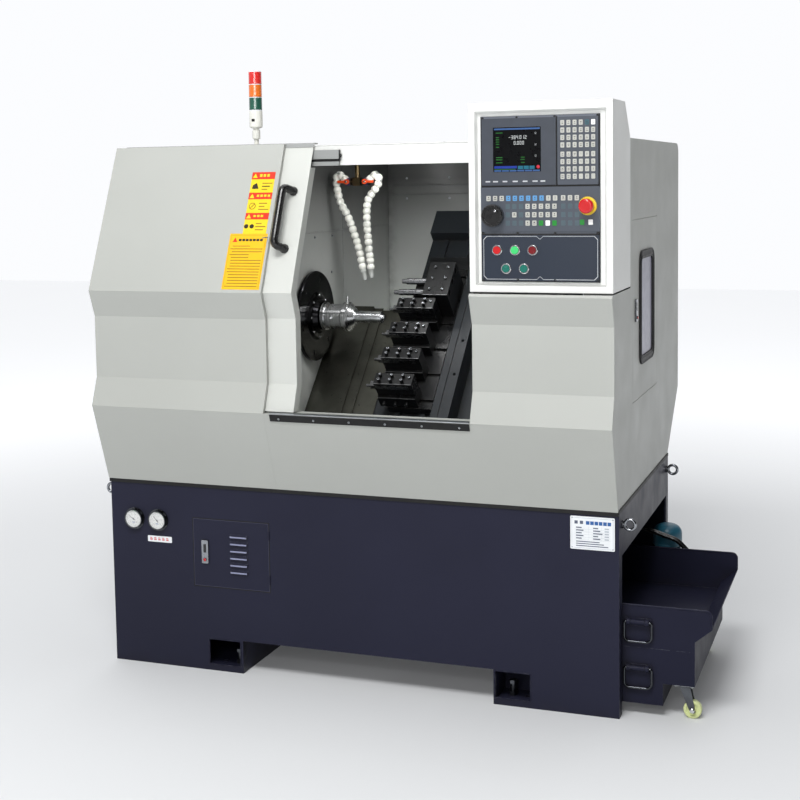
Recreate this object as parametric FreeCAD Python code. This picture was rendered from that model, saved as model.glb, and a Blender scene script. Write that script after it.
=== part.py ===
import FreeCAD, Part
import math
import os

os.makedirs("parts", exist_ok=True)

# A slant-bed turning lathe with a gang tool table, a sliding front door and a chip cart.
# Millimetres. X runs along the spindle, Y from the front to the back, Z up from the floor.
# The drawing starts at the base's front left corner on the floor, and every piece is moved
# when it is written, so that the origin is the centre of the four anchor holes.

# ---------------------------------------------------------------- driving sizes
base_length = 1600.0
base_depth = 830.0
base_height = 582.0
base_plate = 6.0
deck_plate = 12.0
foot_height = 102.0
left_foot_length = 445.0
right_foot_start = 1238.0
right_foot_box = 118.0
foot_box_depth = 112.0
foot_sole = 12.0
beam_bottom = 452.0
edge_flange = 40.0

sheet = 2.5                      # enclosure sheet metal
cover_left = -4.0                # the enclosure oversails the base at its left end
cover_right = base_length - 2.0
cover_top = 1608.0
roof_z = 1603.0
back_y = 1051.0
back_low_z = 777.0
back_radius = 36.0
skirt_y = -4.0
belt_y = -86.0
belt_z = 824.0
waist_y = -54.0
waist_low_z = 909.0
waist_high_z = 1096.0
brow_y = -83.0
brow_z = 1176.0
crown_y = 106.0
left_cover_end = 573.0
right_cover_start = 1202.0

running = 0.05                   # radial clearance of a pin or shaft in its hole
seat_gap = 0.3                   # gap between bodies that slide or swing past each other
panel_gap = 0.9                  # gap round an inset door

door_start = 24.0
door_end = 663.0
door_inset = 14.0                # the door runs behind the covers
door_flange = 35.0
door_foot_z = belt_z + 4.5

spindle_y = 300.0
spindle_z = 1072.0
spindle_bore = 20.0
spindle_rear = 60.0
wall_x = 568.0                   # face of the chamber's left wall
chamber_back_y = 1000.0
shelf_z = 1000.0

slant_z = 560.0                  # height of the way covers' plane over the line y = 0
cover_low_s = 130.0              # the way covers' lower and upper edges, along the slope
cover_high_s = 740.0
plate_step = 5.0                 # each telescopic plate runs this far under the last

cabinet_bottom = 1187.0
cabinet_top = 1700.0
cabinet_front = -68.0
cabinet_back = 102.0
cabinet_slope_y = 180.0
panel_depth = 12.0

cart_left = base_length - 238.0
cart_right = base_length + 199.0
cart_front = 46.0
cart_back = 660.0
tank_bottom = 34.0
tank_top = 194.0
notch_z = 97.0
notch_length = 87.0
tray_left = base_length - 720.0
tray_top = 314.0
tray_lip_x = base_length + 246.0
tray_lip_z = 262.0
tray_corner = 16.5
tray_knee_z = 223.0
wheel_radius = 25.0
wheel_width = 20.0
caster_trail = 22.0

anchor_left_x = 355.0
anchor_right_x = 1325.0
anchor_front_y = 60.0
anchor_radius = 9.0

origin = FreeCAD.Vector((anchor_left_x + anchor_right_x) / 2, base_depth / 2, 0)
X_AXIS = FreeCAD.Vector(1, 0, 0)
Y_AXIS = FreeCAD.Vector(0, 1, 0)
Z_AXIS = FreeCAD.Vector(0, 0, 1)
SLOPE = math.sqrt(0.5)           # the ways lie at 45 degrees


# ---------------------------------------------------------------- drawing helpers
def vec(x, y, z):
    return FreeCAD.Vector(x, y, z)


def box(x0, x1, y0, y1, z0, z1):
    return Part.makeBox(x1 - x0, y1 - y0, z1 - z0, vec(x0, y0, z0))


def rod(x, y, z, axis, radius, length):
    return Part.makeCylinder(radius, length, vec(x, y, z), axis)


def cone(x, y, z, axis, radius0, radius1, length):
    return Part.makeCone(radius0, radius1, length, vec(x, y, z), axis)


def tube(x, y, z, axis, outer, inner, length):
    return rod(x, y, z, axis, outer, length).cut(rod(x, y, z, axis, inner, length))


def closed_prism(points, sweep):
    return Part.Face(Part.makePolygon(points + [points[0]])).extrude(sweep)


def prism_x(outline, x0, x1):
    """Solid with the outline (y, z), from x0 to x1."""
    return closed_prism([vec(x0, y, z) for y, z in outline], vec(x1 - x0, 0, 0))


def prism_y(outline, y0, y1):
    """Solid with the outline (x, z), from y0 to y1."""
    return closed_prism([vec(x, y0, z) for x, z in outline], vec(0, y1 - y0, 0))


def prism_z(outline, z0, z1):
    """Solid with the outline (x, y), from z0 to z1."""
    return closed_prism([vec(x, y, z0) for x, y in outline], vec(0, 0, z1 - z0))


def fuse(first, *others):
    shape = first.multiFuse(list(others)) if others else first
    return shape.removeSplitter()


def plates(shell, *regions):
    """The shell's separate plates: one from each region in turn, then what is left."""
    pieces = []
    for region in regions:
        pieces += shell.common(region).Solids
        shell = shell.cut(region)
    return pieces + shell.Solids


def parallel(path, distance):
    """The open path moved sideways, to its right as it is walked, with mitred corners."""
    normals = []
    for (a0, b0), (a1, b1) in zip(path, path[1:]):
        run = math.hypot(a1 - a0, b1 - b0)
        normals.append(((b1 - b0) / run, (a0 - a1) / run))
    moved = []
    for i, (a, b) in enumerate(path):
        n0 = normals[max(i - 1, 0)]
        n1 = normals[min(i, len(normals) - 1)]
        share = distance / (1 + n0[0] * n1[0] + n0[1] * n1[1])
        moved.append((a + share * (n0[0] + n1[0]), b + share * (n0[1] + n1[1])))
    return moved


def strip(path, near, far):
    """Outline of the band between two parallels of an open path."""
    return parallel(path, near) + parallel(path, far)[::-1]


def rounded_box_y(x0, x1, z0, z1, y0, y1, radius):
    block = box(x0, x1, y0, y1, z0, z1)
    return block.makeFillet(radius, [e for e in block.Edges if along(e, Y_AXIS)])


def rounded_box_x(y0, y1, z0, z1, x0, x1, radius):
    block = box(x0, x1, y0, y1, z0, z1)
    return block.makeFillet(radius, [e for e in block.Edges if along(e, X_AXIS)])


def along(edge, axis):
    run = edge.Vertexes[-1].Point.sub(edge.Vertexes[0].Point)
    return run.Length > 0 and abs(abs(run.normalize().dot(axis)) - 1) < 1e-6


def slope_point(s, lift):
    """(y, z) at s along the slope and lift square above the way covers' plane."""
    return (s - lift) * SLOPE, slant_z + (s + lift) * SLOPE


def slope_box(x0, x1, s0, s1, lift0, lift1):
    corners = [(s0, lift0), (s1, lift0), (s1, lift1), (s0, lift1)]
    return prism_x([slope_point(s, lift) for s, lift in corners], x0, x1)


def slope_rod(x, s, lift, radius, length):
    """A rod standing square on the slope."""
    y, z = slope_point(s, lift)
    return rod(x, y, z, vec(0, -SLOPE, SLOPE), radius, length)


def swept(points, bends, radius):
    """A round bar along straight runs joined by tangent arcs."""
    edges = []
    start = points[0]
    for i in range(1, len(points) - 1):
        before = points[i - 1].sub(points[i]).normalize()
        after = points[i + 1].sub(points[i]).normalize()
        half = math.acos(max(-1, min(1, before.dot(after)))) / 2
        reach = bends[i - 1] / math.tan(half)
        first = points[i].add(before * reach)
        last = points[i].add(after * reach)
        bisector = before.add(after).normalize()
        middle = points[i].add(bisector * (bends[i - 1] / math.sin(half) - bends[i - 1]))
        if first.sub(start).Length > 1e-6:
            edges.append(Part.LineSegment(start, first).toShape())
        edges.append(Part.Arc(first, middle, last).toShape())
        start = last
    edges.append(Part.LineSegment(start, points[-1]).toShape())
    path = Part.Wire(edges)
    ring = Part.Wire(Part.makeCircle(radius, points[0], points[1].sub(points[0])))
    return path.makePipeShell([ring], True, False)


def write(node, *solids):
    shape = Part.makeCompound(list(solids)) if len(solids) > 1 else solids[0]
    shape.translate(origin * -1)
    shape.exportStep("parts/" + node + ".step")
    print(node, len(shape.Solids), round(shape.Volume / 1000), shape.isValid())


# ---------------------------------------------------------------- the enclosure's section
front_path = [(skirt_y, base_height), (belt_y, belt_z), (waist_y, waist_low_z),
              (waist_y, waist_high_z), (brow_y, brow_z), (crown_y, cover_top)]


def front_y(z):
    """The covers' outer face at height z."""
    for (y0, z0), (y1, z1) in zip(front_path, front_path[1:]):
        if z0 <= z <= z1:
            return y0 + (y1 - y0) * (z - z0) / (z1 - z0)
    raise ValueError(z)


lean = math.hypot(crown_y - brow_y, cover_top - brow_z) / (cover_top - brow_z)


def door_face(z):
    """The door's outer face on the leaning part above the brow."""
    return front_y(z) + door_inset * lean


def side_plate(x0, x1, front):
    """A side of the enclosure: the given front edge, the roof line and the tapered back."""
    corner = vec(x0, back_y - back_radius, roof_z - back_radius)
    mid = corner.add(vec(0, back_radius * SLOPE, back_radius * SLOPE))
    top = vec(x0, back_y - back_radius, roof_z)
    low = vec(x0, back_y, roof_z - back_radius)
    points = [vec(x0, y, z) for y, z in front]
    edges = [Part.makePolygon(points + [top]).Edges, [Part.Arc(top, mid, low).toShape()],
             Part.makePolygon([low, vec(x0, back_y, back_low_z), vec(x0, base_depth, base_height),
                               points[0]]).Edges]
    wire = Part.Wire([e for group in edges for e in group])
    return Part.Face(wire).extrude(vec(x1 - x0, 0, 0))


# ---------------------------------------------------------------- base
access_x0, access_x1, access_z0, access_z1 = 285.0, 541.0, 263.0, 474.0
access_reach = 130.0             # the bay's wall is cut back this far behind the access door
gauge_z = 459.0
gauge_xs = [82.0, 165.0]
gauge_flange = 34.0
gauge_body = 26.0
chute_x0, chute_x1, chute_y0, chute_y1 = 640.0, 1190.0, 30.0, 140.0
window_z0, window_z1 = 21.0, 98.0
left_window = (331.0, 436.0)
right_window = (1243.0, 1346.0)
eye_y = 40.0
eye_z = 540.0
eye_shank = 6.0
level_left_x = 405.0
level_right_x = 1280.0
level_radius = 8.0
bulkhead_x, bulkhead_y = base_length - 120.0, 676.0
anchor_ys = [anchor_front_y, base_depth - anchor_front_y]
anchor_holes = [(x, y) for x in (anchor_left_x, anchor_right_x) for y in anchor_ys]
level_holes = [(x, y) for x in (level_left_x, level_right_x) for y in anchor_ys]


def base_frame():
    far_y = base_depth - base_plate
    face = [(0, 0), (left_foot_length, 0), (left_foot_length, foot_height),
            (right_foot_start, foot_height), (right_foot_start, 0), (base_length, 0),
            (base_length, base_height), (0, base_height)]
    front = prism_y(face, 0, base_plate)
    rear = prism_y(face, far_y, base_depth)
    left = box(0, base_plate, 0, base_depth, 0, base_height)
    deck = box(0, base_length, 0, base_depth, base_height - deck_plate, base_height)
    deck = deck.cut(box(chute_x0, chute_x1, chute_y0, chute_y1, 0, base_height))
    beam = box(base_length - base_plate, base_length, 0, base_depth, beam_bottom, base_height)
    ledge = box(base_length - 60, base_length, 0, base_depth, beam_bottom, beam_bottom + base_plate)
    bulkhead = box(base_length - 170, base_length, bulkhead_y - 30, bulkhead_y + 30,
                   beam_bottom, beam_bottom + base_plate)
    web = box(base_length - 176, base_length - 170, base_plate, far_y, beam_bottom, base_height)
    bay_wall = box(left_foot_length - base_plate, left_foot_length, 0, base_depth, 0, base_height)
    reach_hole = box(access_x0, access_x1, 0, access_reach, access_z0 - 8, access_z1 + 8)
    bay_wall = bay_wall.cut(reach_hole)
    sole = box(0, left_foot_length, 0, base_depth, 0, foot_sole)
    parts = [rear, left, deck, beam, ledge, bulkhead, web, bay_wall, sole]
    for y0, y1 in ((0, edge_flange), (base_depth - edge_flange, base_depth)):
        parts.append(box(base_length - base_plate, base_length, y0, y1, 0, beam_bottom))
    box_end = right_foot_start + right_foot_box
    for y0, y1 in ((0, foot_box_depth), (base_depth - foot_box_depth, base_depth)):
        block = box(right_foot_start, box_end, y0, y1, 0, foot_height)
        hollow = box(right_foot_start + base_plate, box_end - base_plate, y0 + base_plate,
                     y1 - base_plate, foot_sole, foot_height - base_plate)
        parts.append(block.cut(hollow))
    frame = front.fuse(parts)
    frame = frame.cut(box(access_x0, access_x1, -1, base_plate + 1, access_z0, access_z1))
    for x0, x1 in (left_window, right_window):
        frame = frame.cut(box(x0, x1, -1, base_plate + 1, window_z0, window_z1))
    for x, y in anchor_holes:
        frame = frame.cut(rod(x, y, -1, Z_AXIS, anchor_radius, foot_sole + 2))
    for x, y in level_holes:
        frame = frame.cut(rod(x, y, -1, Z_AXIS, level_radius + running, foot_sole + 2))
    for x in gauge_xs:
        frame = frame.cut(rod(x, -1, gauge_z, Y_AXIS, gauge_body + seat_gap, base_plate + 2))
    for y in (eye_y, base_depth - eye_y):
        frame = frame.cut(rod(-1, y, eye_z, X_AXIS, eye_shank + running, base_plate + 2))
        frame = frame.cut(rod(base_length - base_plate - 1, y, eye_z, X_AXIS,
                              eye_shank + running, base_plate + 2))
    coupling = tube(bulkhead_x, bulkhead_y, beam_bottom - 10, Z_AXIS, 14, 7, 40)
    frame = frame.cut(rod(bulkhead_x, bulkhead_y, beam_bottom - 1, Z_AXIS, 7, base_plate + 2))
    inner_y = (base_plate, far_y)
    return plates(fuse(frame, coupling),
                  box(0, base_length, 0, base_plate, 0, base_height),
                  box(0, base_length, far_y, base_depth, 0, base_height),
                  box(0, base_length, *inner_y, base_height - deck_plate, base_height),
                  box(0, base_plate, *inner_y, 0, base_height),
                  box(left_foot_length - base_plate, left_foot_length, *inner_y, 0, base_height),
                  box(base_length - base_plate, base_length, *inner_y, 0, base_height))


def levelling_bolt(x, y):
    turns = [math.radians(60 * i) for i in range(6)]
    head = prism_z([(x + 12 * math.cos(a), y + 12 * math.sin(a)) for a in turns], 46, 56)
    nut = prism_z([(x + 13 * math.cos(a), y + 13 * math.sin(a)) for a in turns],
                  foot_sole, foot_sole + 12)
    return fuse(rod(x, y, 0, Z_AXIS, level_radius, 50), head, nut)


def eye_bolt(y, side):
    """side is -1 on the left end and 1 on the right end."""
    wall = 0 if side < 0 else base_length
    collar = rod(wall, y, eye_z, X_AXIS * side, 11, 5)
    shank = rod(wall - side * (base_plate + 12), y, eye_z, X_AXIS * side, eye_shank, base_plate + 18)
    ring = Part.makeTorus(14.5, 4.5, vec(wall + side * 22, y, eye_z), Y_AXIS)
    nut = rod(wall - side * (base_plate + 10), y, eye_z, X_AXIS * side, 11, 10)
    return fuse(collar, shank, ring, nut)


def gauge_case(x):
    flange = rod(x, -3, gauge_z, Y_AXIS, gauge_flange, 3)
    rim = rod(x, -13, gauge_z, Y_AXIS, 30, 10)
    dish = rod(x, -13, gauge_z, Y_AXIS, 27, 4)
    body = rod(x, 0, gauge_z, Y_AXIS, gauge_body, 38)
    stem = rod(x, 30, gauge_z - 44, Z_AXIS, 6, 30)
    return fuse(flange, rim, body, stem).cut(dish)


louvre_count = 6
louvre_x0, louvre_x1 = 414.0, 467.0
louvre_z0, louvre_pitch = 312.0, 22.0
access_latch_x, access_latch_z = 326.0, 336.0


def access_door():
    x0, x1 = access_x0 + panel_gap, access_x1 - panel_gap
    z0, z1 = access_z0 + panel_gap, access_z1 - panel_gap
    skin = box(x0, x1, 0, 3, z0, z1)
    rim = box(x0, x1, 3, 16, z0, z1).cut(box(x0 + 2, x1 - 2, 3, 16, z0 + 2, z1 - 2))
    door = fuse(skin, rim)
    for i in range(louvre_count):
        z = louvre_z0 + i * louvre_pitch
        door = door.cut(box(louvre_x0, louvre_x1, -1, 4, z, z + 7))
        hood = prism_x([(0, z + 10), (-6, z + 2), (-6, z), (-4.5, z), (-4.5, z + 2), (1, z + 8.2)],
                       louvre_x0 - 2, louvre_x1 + 2)
        cheeks = [prism_x([(0.5, z + 10), (-6, z + 2), (-6, z), (0.5, z)], x, x + 2)
                  for x in (louvre_x0 - 2, louvre_x1)]
        door = door.fuse([hood] + cheeks)
    slot = box(access_latch_x - 6, access_latch_x + 6, -1, 4, access_latch_z + 6, access_latch_z + 50)
    return door.cut(slot).removeSplitter()


def paddle_latch(width, length):
    """A paddle latch standing on the plane y = 0: its face, its tongue and its push button."""
    plate = rounded_box_y(-width / 2, width / 2, 0, length, -5, -seat_gap, 3)
    tongue = box(-4, 4, -seat_gap, 14, 12, length - 24)
    button = rod(0, -7, 12, Y_AXIS, 5, 3)
    return fuse(plate, tongue, button)


# ---------------------------------------------------------------- enclosure
slot_y = 116.0                   # the door's top edge runs in the slot between these two
roof_start_y = 126.0
lintel_y = 128.0
lintel_foot_z = 1542.0
rail_end = 743.0
jamb_back_y = 10.0
bar_hole = 42.0
side_y0, side_y1, side_z0, side_z1 = 211.0, 622.0, 849.0, 1373.0


def left_cover():
    path = front_path + [(slot_y, cover_top)]
    front = prism_x(strip(path, 0, sheet), cover_left, left_cover_end)
    flange_path = [(belt_y, belt_z + 2)] + front_path[2:]
    flange = prism_x(strip(flange_path, 0, door_inset - 2.5), left_cover_end - sheet, left_cover_end)
    outline = front_path + [(slot_y, cover_top), (slot_y, roof_z)]
    side = side_plate(cover_left, cover_left + sheet, outline)
    side = side.cut(rod(cover_left - 1, spindle_y, spindle_z, X_AXIS, bar_hole, sheet + 2))
    seat = box(cover_left, left_cover_end, skirt_y, skirt_y + 30, base_height, base_height + sheet)
    end_plate = box(cover_left, cover_left + sheet, belt_y - 1, back_y + 1, base_height, cover_top)
    return plates(fuse(front, flange, side, seat), end_plate)


apron_y = -20.0


def right_cover():
    lip = (brow_y + 6, cabinet_bottom - 4)
    front = prism_x(strip(front_path[:5] + [lip], 0, sheet), right_cover_start, cover_right)
    skirt_path = [front_path[0], front_path[1], (apron_y, belt_z)]
    skirt = prism_x(strip(skirt_path, 0, sheet), left_cover_end, right_cover_start + sheet)
    jamb_foot = belt_z - sheet
    jamb_path = front_path[1:5] + [lip, (jamb_back_y, lip[1]), (jamb_back_y, jamb_foot),
                                   (belt_y + 2, jamb_foot)]
    jamb = prism_x(jamb_path, right_cover_start, right_cover_start + sheet)
    outline = front_path[:5] + [lip, (cabinet_slope_y, cabinet_bottom - 4), (cabinet_slope_y, roof_z)]
    side = side_plate(cover_right - sheet, cover_right, outline)
    frame = box(cover_right - 24, cover_right, side_y0 - 2, side_y1 + 2, side_z0 - 2, side_z1 + 2)
    hole = box(cover_right - 30, cover_right + 1, side_y0, side_y1, side_z0, side_z1)
    seat = box(left_cover_end, cover_right, skirt_y, skirt_y + 30, base_height, base_height + sheet)
    return fuse(front, skirt, jamb, side, frame, seat).cut(hole)


vent_x0, vent_x1, vent_z0 = 1270.0, 1530.0, 900.0
vent_rows, vent_pitch = 10, 26.0
gland_x, gland_z, gland_bore = 1400.0, 840.0, 9.0


def back_cover():
    path = [(base_depth, base_height), (back_y, back_low_z), (back_y, roof_z - back_radius)]
    cover = prism_x(strip(path, -sheet, 0), cover_left + sheet, cover_right - sheet)
    for i in range(vent_rows):
        z = vent_z0 + i * vent_pitch
        cover = cover.cut(box(vent_x0, vent_x1, back_y - 5, back_y + 1, z, z + 9))
    cover = cover.cut(rod(gland_x, back_y - 5, gland_z, Y_AXIS, gland_bore, 10))
    gland = tube(gland_x, back_y - sheet - 12, gland_z, Y_AXIS, 15, gland_bore, sheet + 30)
    lower = box(cover_left, cover_right, base_depth - sheet, back_y + sheet, base_height, back_low_z)
    return plates(fuse(cover, gland), lower)


def roof_panel():
    start = roof_start_y
    centre = vec(cover_left, back_y - back_radius, roof_z - back_radius)

    def corner(radius):
        return [centre.add(vec(0, radius * math.sin(a), radius * math.cos(a)))
                for a in (0, math.pi / 4, math.pi / 2)]

    outer, inner = corner(back_radius), corner(back_radius - sheet)
    edges = [Part.makeLine(vec(cover_left, start, roof_z), outer[0]), Part.Arc(*outer).toShape(),
             Part.makeLine(outer[2], inner[2]), Part.Arc(*inner).toShape(),
             Part.makeLine(inner[0], vec(cover_left, start, roof_z - sheet)),
             Part.makeLine(vec(cover_left, start, roof_z - sheet), vec(cover_left, start, roof_z))]
    left, right = cover_left + sheet, cover_right - sheet      # between the side plates
    bent = Part.Face(Part.Wire(edges)).extrude(vec(cover_right - cover_left, 0, 0))
    bent = bent.common(box(left, right, 0, back_y, 0, roof_z))
    bent = bent.cut(box(right_cover_start, cover_right, 0, cabinet_slope_y, 0, roof_z + 1))
    lintel = box(left, right_cover_start, lintel_y, lintel_y + sheet, lintel_foot_z, roof_z)
    lip = box(left, right_cover_start, lintel_y, lintel_y + 18, lintel_foot_z, lintel_foot_z + sheet)
    return fuse(bent, lintel, lip)


rail_front = 118.0
rail_bars = [(1541.0, 1553.0), (1561.0, 1588.0)]


def door_rail():
    z0, z1 = rail_bars[0][0], rail_bars[1][1]
    web = box(10, rail_end, lintel_y - 3, lintel_y, z0, z1)
    bars = [box(10, rail_end, rail_front, lintel_y - 3, low, high) for low, high in rail_bars]
    return fuse(web, *bars)


window_x0, window_x1 = 130.0, 560.0
window_low_z, window_high_z = 1225.0, 1515.0


def door_panel():
    low = [(belt_y, door_foot_z - 20), (belt_y, belt_z)] + front_path[2:]
    top = parallel(low, door_inset)[-1]
    peak = (top[0] + (cover_top - top[1]) * (crown_y - brow_y) / (cover_top - brow_z), cover_top)
    skin_path = parallel(low, door_inset)[:-1] + [peak, (peak[0] + 30, cover_top)]
    skin = prism_x(strip(skin_path, 0, 2), door_start, door_end)
    right = prism_x(strip(parallel(low, door_inset), 0, door_flange), door_end - 2, door_end)
    right = right.cut(box(door_end - 3, door_end + 1, -200, 400, rail_bars[0][0] - 5, cover_top + 20))
    left = prism_x(strip(parallel(low, door_inset), 0, 12), door_start, door_start + 2)
    left = left.cut(box(door_start - 1, door_start + 3, -200, 400, rail_bars[0][0] - 5, cover_top + 20))
    bar_top = rail_bars[1][1]
    inner = 2 * lean
    hook = [(door_face(bar_top - 28) + inner - 1, bar_top - 28),
            (rail_front - seat_gap, bar_top - 28), (rail_front - seat_gap, bar_top + seat_gap),
            (lintel_y - 1, bar_top + seat_gap), (lintel_y - 1, bar_top + 10),
            (door_face(bar_top + 10) + inner - 1, bar_top + 10)]
    hooks = [prism_x(hook, x - 20, x + 20) for x in (60.0, 185.0)]
    door = fuse(skin, right, left, *hooks)
    door = door.cut(box(door_start - 1, door_end + 1, -200, 200, 0, door_foot_z))
    low, high = door_face(window_low_z), door_face(window_high_z)
    opening = prism_x([(low - 30, window_low_z), (low + 60, window_low_z), (high + 60, window_high_z),
                       (high - 30, window_high_z)], window_x0, window_x1)
    return door.cut(opening)


def door_window():
    """The pane lies on the back of the door's skin and overlaps its opening all round."""
    lap = 16
    low, high = window_low_z - lap, window_high_z + lap
    inner = 2 * lean
    pane = [(door_face(low) + inner, low), (door_face(low) + inner + 5, low),
            (door_face(high) + inner + 5, high), (door_face(high) + inner, high)]
    return prism_x(pane, window_x0 - lap, window_x1 + lap)


handle_x = 621.0
handle_shift = 27.0
handle_reach = 38.0
handle_low_z, handle_high_z = 1306.0, 1472.0
handle_radius = 8.0


def door_handle():
    """An offset pull: both legs lean towards the hinge side and carry an upright bar."""
    out = vec(0, -1 / lean, (crown_y - brow_y) / (cover_top - brow_z) / lean)
    feet = [vec(handle_x, door_face(z), z) for z in (handle_low_z, handle_high_z)]
    knees = [foot.add(out * handle_reach).add(X_AXIS * -handle_shift) for foot in feet]
    ends = [foot.add(out * 5.5) for foot in feet]
    bar = swept([ends[0], knees[0], knees[1], ends[1]], [14, 14], handle_radius)
    pads = [rod(foot.x, foot.y, foot.z, out, 11, 6) for foot in feet]
    return fuse(bar, *pads)


# ---------------------------------------------------------------- chamber and machine inside
way_clear = 8.0                  # the right wall's lower edge clears the way covers by this
wall_inset = 24.0                # the left wall stands this far inside the door
rail_clear_z = 1536.0
roof_beam_y = 150.0
apron_foot_y = 36.0
shelf_y = 640.0
nose_hole = 66.0
right_wall_x = right_cover_start + sheet


def chamber_liner():
    """The chamber's lining plates: both side walls, the back, the shelf and the front apron."""
    low_y, low_z = slope_point(cover_low_s, way_clear)
    ceiling = roof_z - sheet
    apron_path = [(apron_foot_y, base_height + 6), (apron_y, belt_z - 60), (apron_y, belt_z - sheet)]
    clear = [p for p in parallel(front_path, wall_inset) if belt_z + 20 < p[1] < brow_z + 40]
    rail_clear = (front_y(rail_clear_z) + wall_inset * lean, rail_clear_z)
    left_outline = [(apron_foot_y, base_height + 8), apron_path[1], (apron_y, belt_z + 20)] + clear
    left_outline += [rail_clear, (roof_beam_y, rail_clear_z), (roof_beam_y, ceiling),
                     (chamber_back_y, ceiling), (chamber_back_y, back_low_z),
                     (base_depth - 20, base_height + 8)]
    left = prism_x(left_outline, wall_x - sheet, wall_x)
    left = left.cut(rod(wall_x - 10, spindle_y, spindle_z, X_AXIS, nose_hole, 20))
    right_outline = [(apron_foot_y, base_height + 8), apron_path[1], (apron_y, cabinet_bottom - 7),
                     (cabinet_slope_y, cabinet_bottom - 7), (cabinet_slope_y, ceiling),
                     (chamber_back_y, ceiling), (chamber_back_y, shelf_z), (shelf_y, shelf_z),
                     (shelf_y, shelf_z + 60), slope_point(cover_high_s, way_clear), (low_y, low_z),
                     (low_y - 8, base_height + 8)]
    right = prism_x(right_outline, right_wall_x, right_wall_x + sheet)
    x0, x1 = wall_x - sheet, right_wall_x + sheet
    back = box(x0, x1, chamber_back_y, chamber_back_y + sheet, shelf_z, ceiling)
    shelf = box(wall_x, x1, shelf_y, chamber_back_y + sheet, shelf_z - sheet, shelf_z)
    apron = prism_x(strip(apron_path, 0, -sheet), x0, x1)
    return left, right, back, shelf, apron


headstock_x0, headstock_x1 = 190.0, 556.0
headstock_half = 112.0
bearing_radius = 62.0
bearing_xs = [215.0, 470.0, 505.0]
bearing_width = 30.0
shaft_radius = 38.0
flange_x = 573.0
sleeve_x0 = 255.0                # the built-in motor lies round the shaft between the bearings
sleeve_length = 200.0
sleeve_radius = bearing_radius - 10.0
flange_radius = 142.0


def headstock():
    """The cast headstock, a bored block on a hollow pedestal, and the motor's stator in its bore."""
    y0, y1 = spindle_y - headstock_half, spindle_y + headstock_half
    z0, z1 = spindle_z - headstock_half, spindle_z + headstock_half
    block = box(headstock_x0, headstock_x1, y0, y1, z0, z1)
    top_edges = [e for e in block.Edges if along(e, X_AXIS) and e.Vertexes[0].Point.z > spindle_z]
    block = block.makeFillet(30, top_edges)
    pedestal = box(headstock_x0 + 20, headstock_x1, y0, y1, base_height, z0)
    hollow = box(headstock_x0 + 50, headstock_x1 - 30, y0 + 28, y1 - 28, base_height - 1, z0 - 30)
    length = headstock_x1 - headstock_x0
    bore = rod(headstock_x0 - 1, spindle_y, spindle_z, X_AXIS, bearing_radius, length + 2)
    stator = tube(sleeve_x0, spindle_y, spindle_z, X_AXIS, bearing_radius, sleeve_radius + 0.5,
                  sleeve_length)
    return fuse(block, pedestal.cut(hollow)).cut(bore), stator


def bearing(x):
    return tube(x, spindle_y, spindle_z, X_AXIS, bearing_radius, shaft_radius + running, bearing_width)


def spindle_shaft():
    """The spindle with its rotor sleeve between the bearings and its clamping cylinder behind."""
    shaft = rod(spindle_rear, spindle_y, spindle_z, X_AXIS, shaft_radius, flange_x - spindle_rear)
    sleeve = rod(sleeve_x0, spindle_y, spindle_z, X_AXIS, sleeve_radius, sleeve_length)
    drum = rod(spindle_rear + 6, spindle_y, spindle_z, X_AXIS, 70, 96)
    bore = rod(spindle_rear - 1, spindle_y, spindle_z, X_AXIS, spindle_bore, flange_x + 20)
    return fuse(shaft, sleeve, drum).cut(bore)


def chuck_flange():
    """The black chuck flange with its raised rings and hub."""
    disc = rod(flange_x, spindle_y, spindle_z, X_AXIS, flange_radius, 11)
    disc = disc.makeChamfer(2.5, [e for e in disc.Edges if abs(e.BoundBox.XMin - flange_x - 11) < 1e-3])
    step = cone(flange_x + 11, spindle_y, spindle_z, X_AXIS, 78, 66, 8)
    hub = cone(flange_x + 19, spindle_y, spindle_z, X_AXIS, 56, 50, 14)
    neck = rod(flange_x + 33, spindle_y, spindle_z, X_AXIS, 34, 4)
    bore = rod(flange_x - 1, spindle_y, spindle_z, X_AXIS, 28, 60)
    flange = fuse(disc, step, hub, neck).cut(bore)
    for i in range(6):
        a = math.radians(60 * i + 15)
        y = spindle_y + 116 * math.cos(a)
        z = spindle_z + 116 * math.sin(a)
        flange = flange.cut(rod(flange_x + 5, y, z, X_AXIS, 6.5, 10))
    return flange


sample_radius = 18.5


def collet_nose():
    """The chrome collet nut with wrench holes, its knurled ring and its taper."""
    x = flange_x + 37
    collar = rod(x, spindle_y, spindle_z, X_AXIS, 44, 10)
    nut = rod(x + 10, spindle_y, spindle_z, X_AXIS, 39, 56)
    ring = rod(x + 66, spindle_y, spindle_z, X_AXIS, 46, 24)
    ring = ring.makeChamfer(4, ring.Edges[:1] + ring.Edges[2:3])
    taper = cone(x + 90, spindle_y, spindle_z, X_AXIS, 38, 26, 16)
    screw = fuse(rod(x + 78, spindle_y, spindle_z + 40, Z_AXIS, 5, 14),
                 cone(x + 78, spindle_y, spindle_z + 54, Z_AXIS, 5, 1.5, 11))
    nose = fuse(collar, nut, ring, taper, screw)
    nose = nose.cut(rod(x - 1, spindle_y, spindle_z, X_AXIS, sample_radius, 120))
    for i in range(6):
        a = math.radians(60 * i)
        axis = vec(0, math.cos(a), math.sin(a))
        nose = nose.cut(rod(x + 38, spindle_y + 28 * math.cos(a), spindle_z + 28 * math.sin(a),
                            axis, 5, 20))
    return nose


sample_end = 803.0


def turned_sample():
    start = flange_x + 40
    body = rod(start, spindle_y, spindle_z, X_AXIS, sample_radius, sample_end - start)
    groove = tube(sample_end - 34, spindle_y, spindle_z, X_AXIS, sample_radius + 1, 17, 3)
    tip = rod(sample_end, spindle_y, spindle_z, X_AXIS, 8, 9)
    return fuse(body.cut(groove), tip)


rail_ss = [250.0, 640.0]


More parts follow.
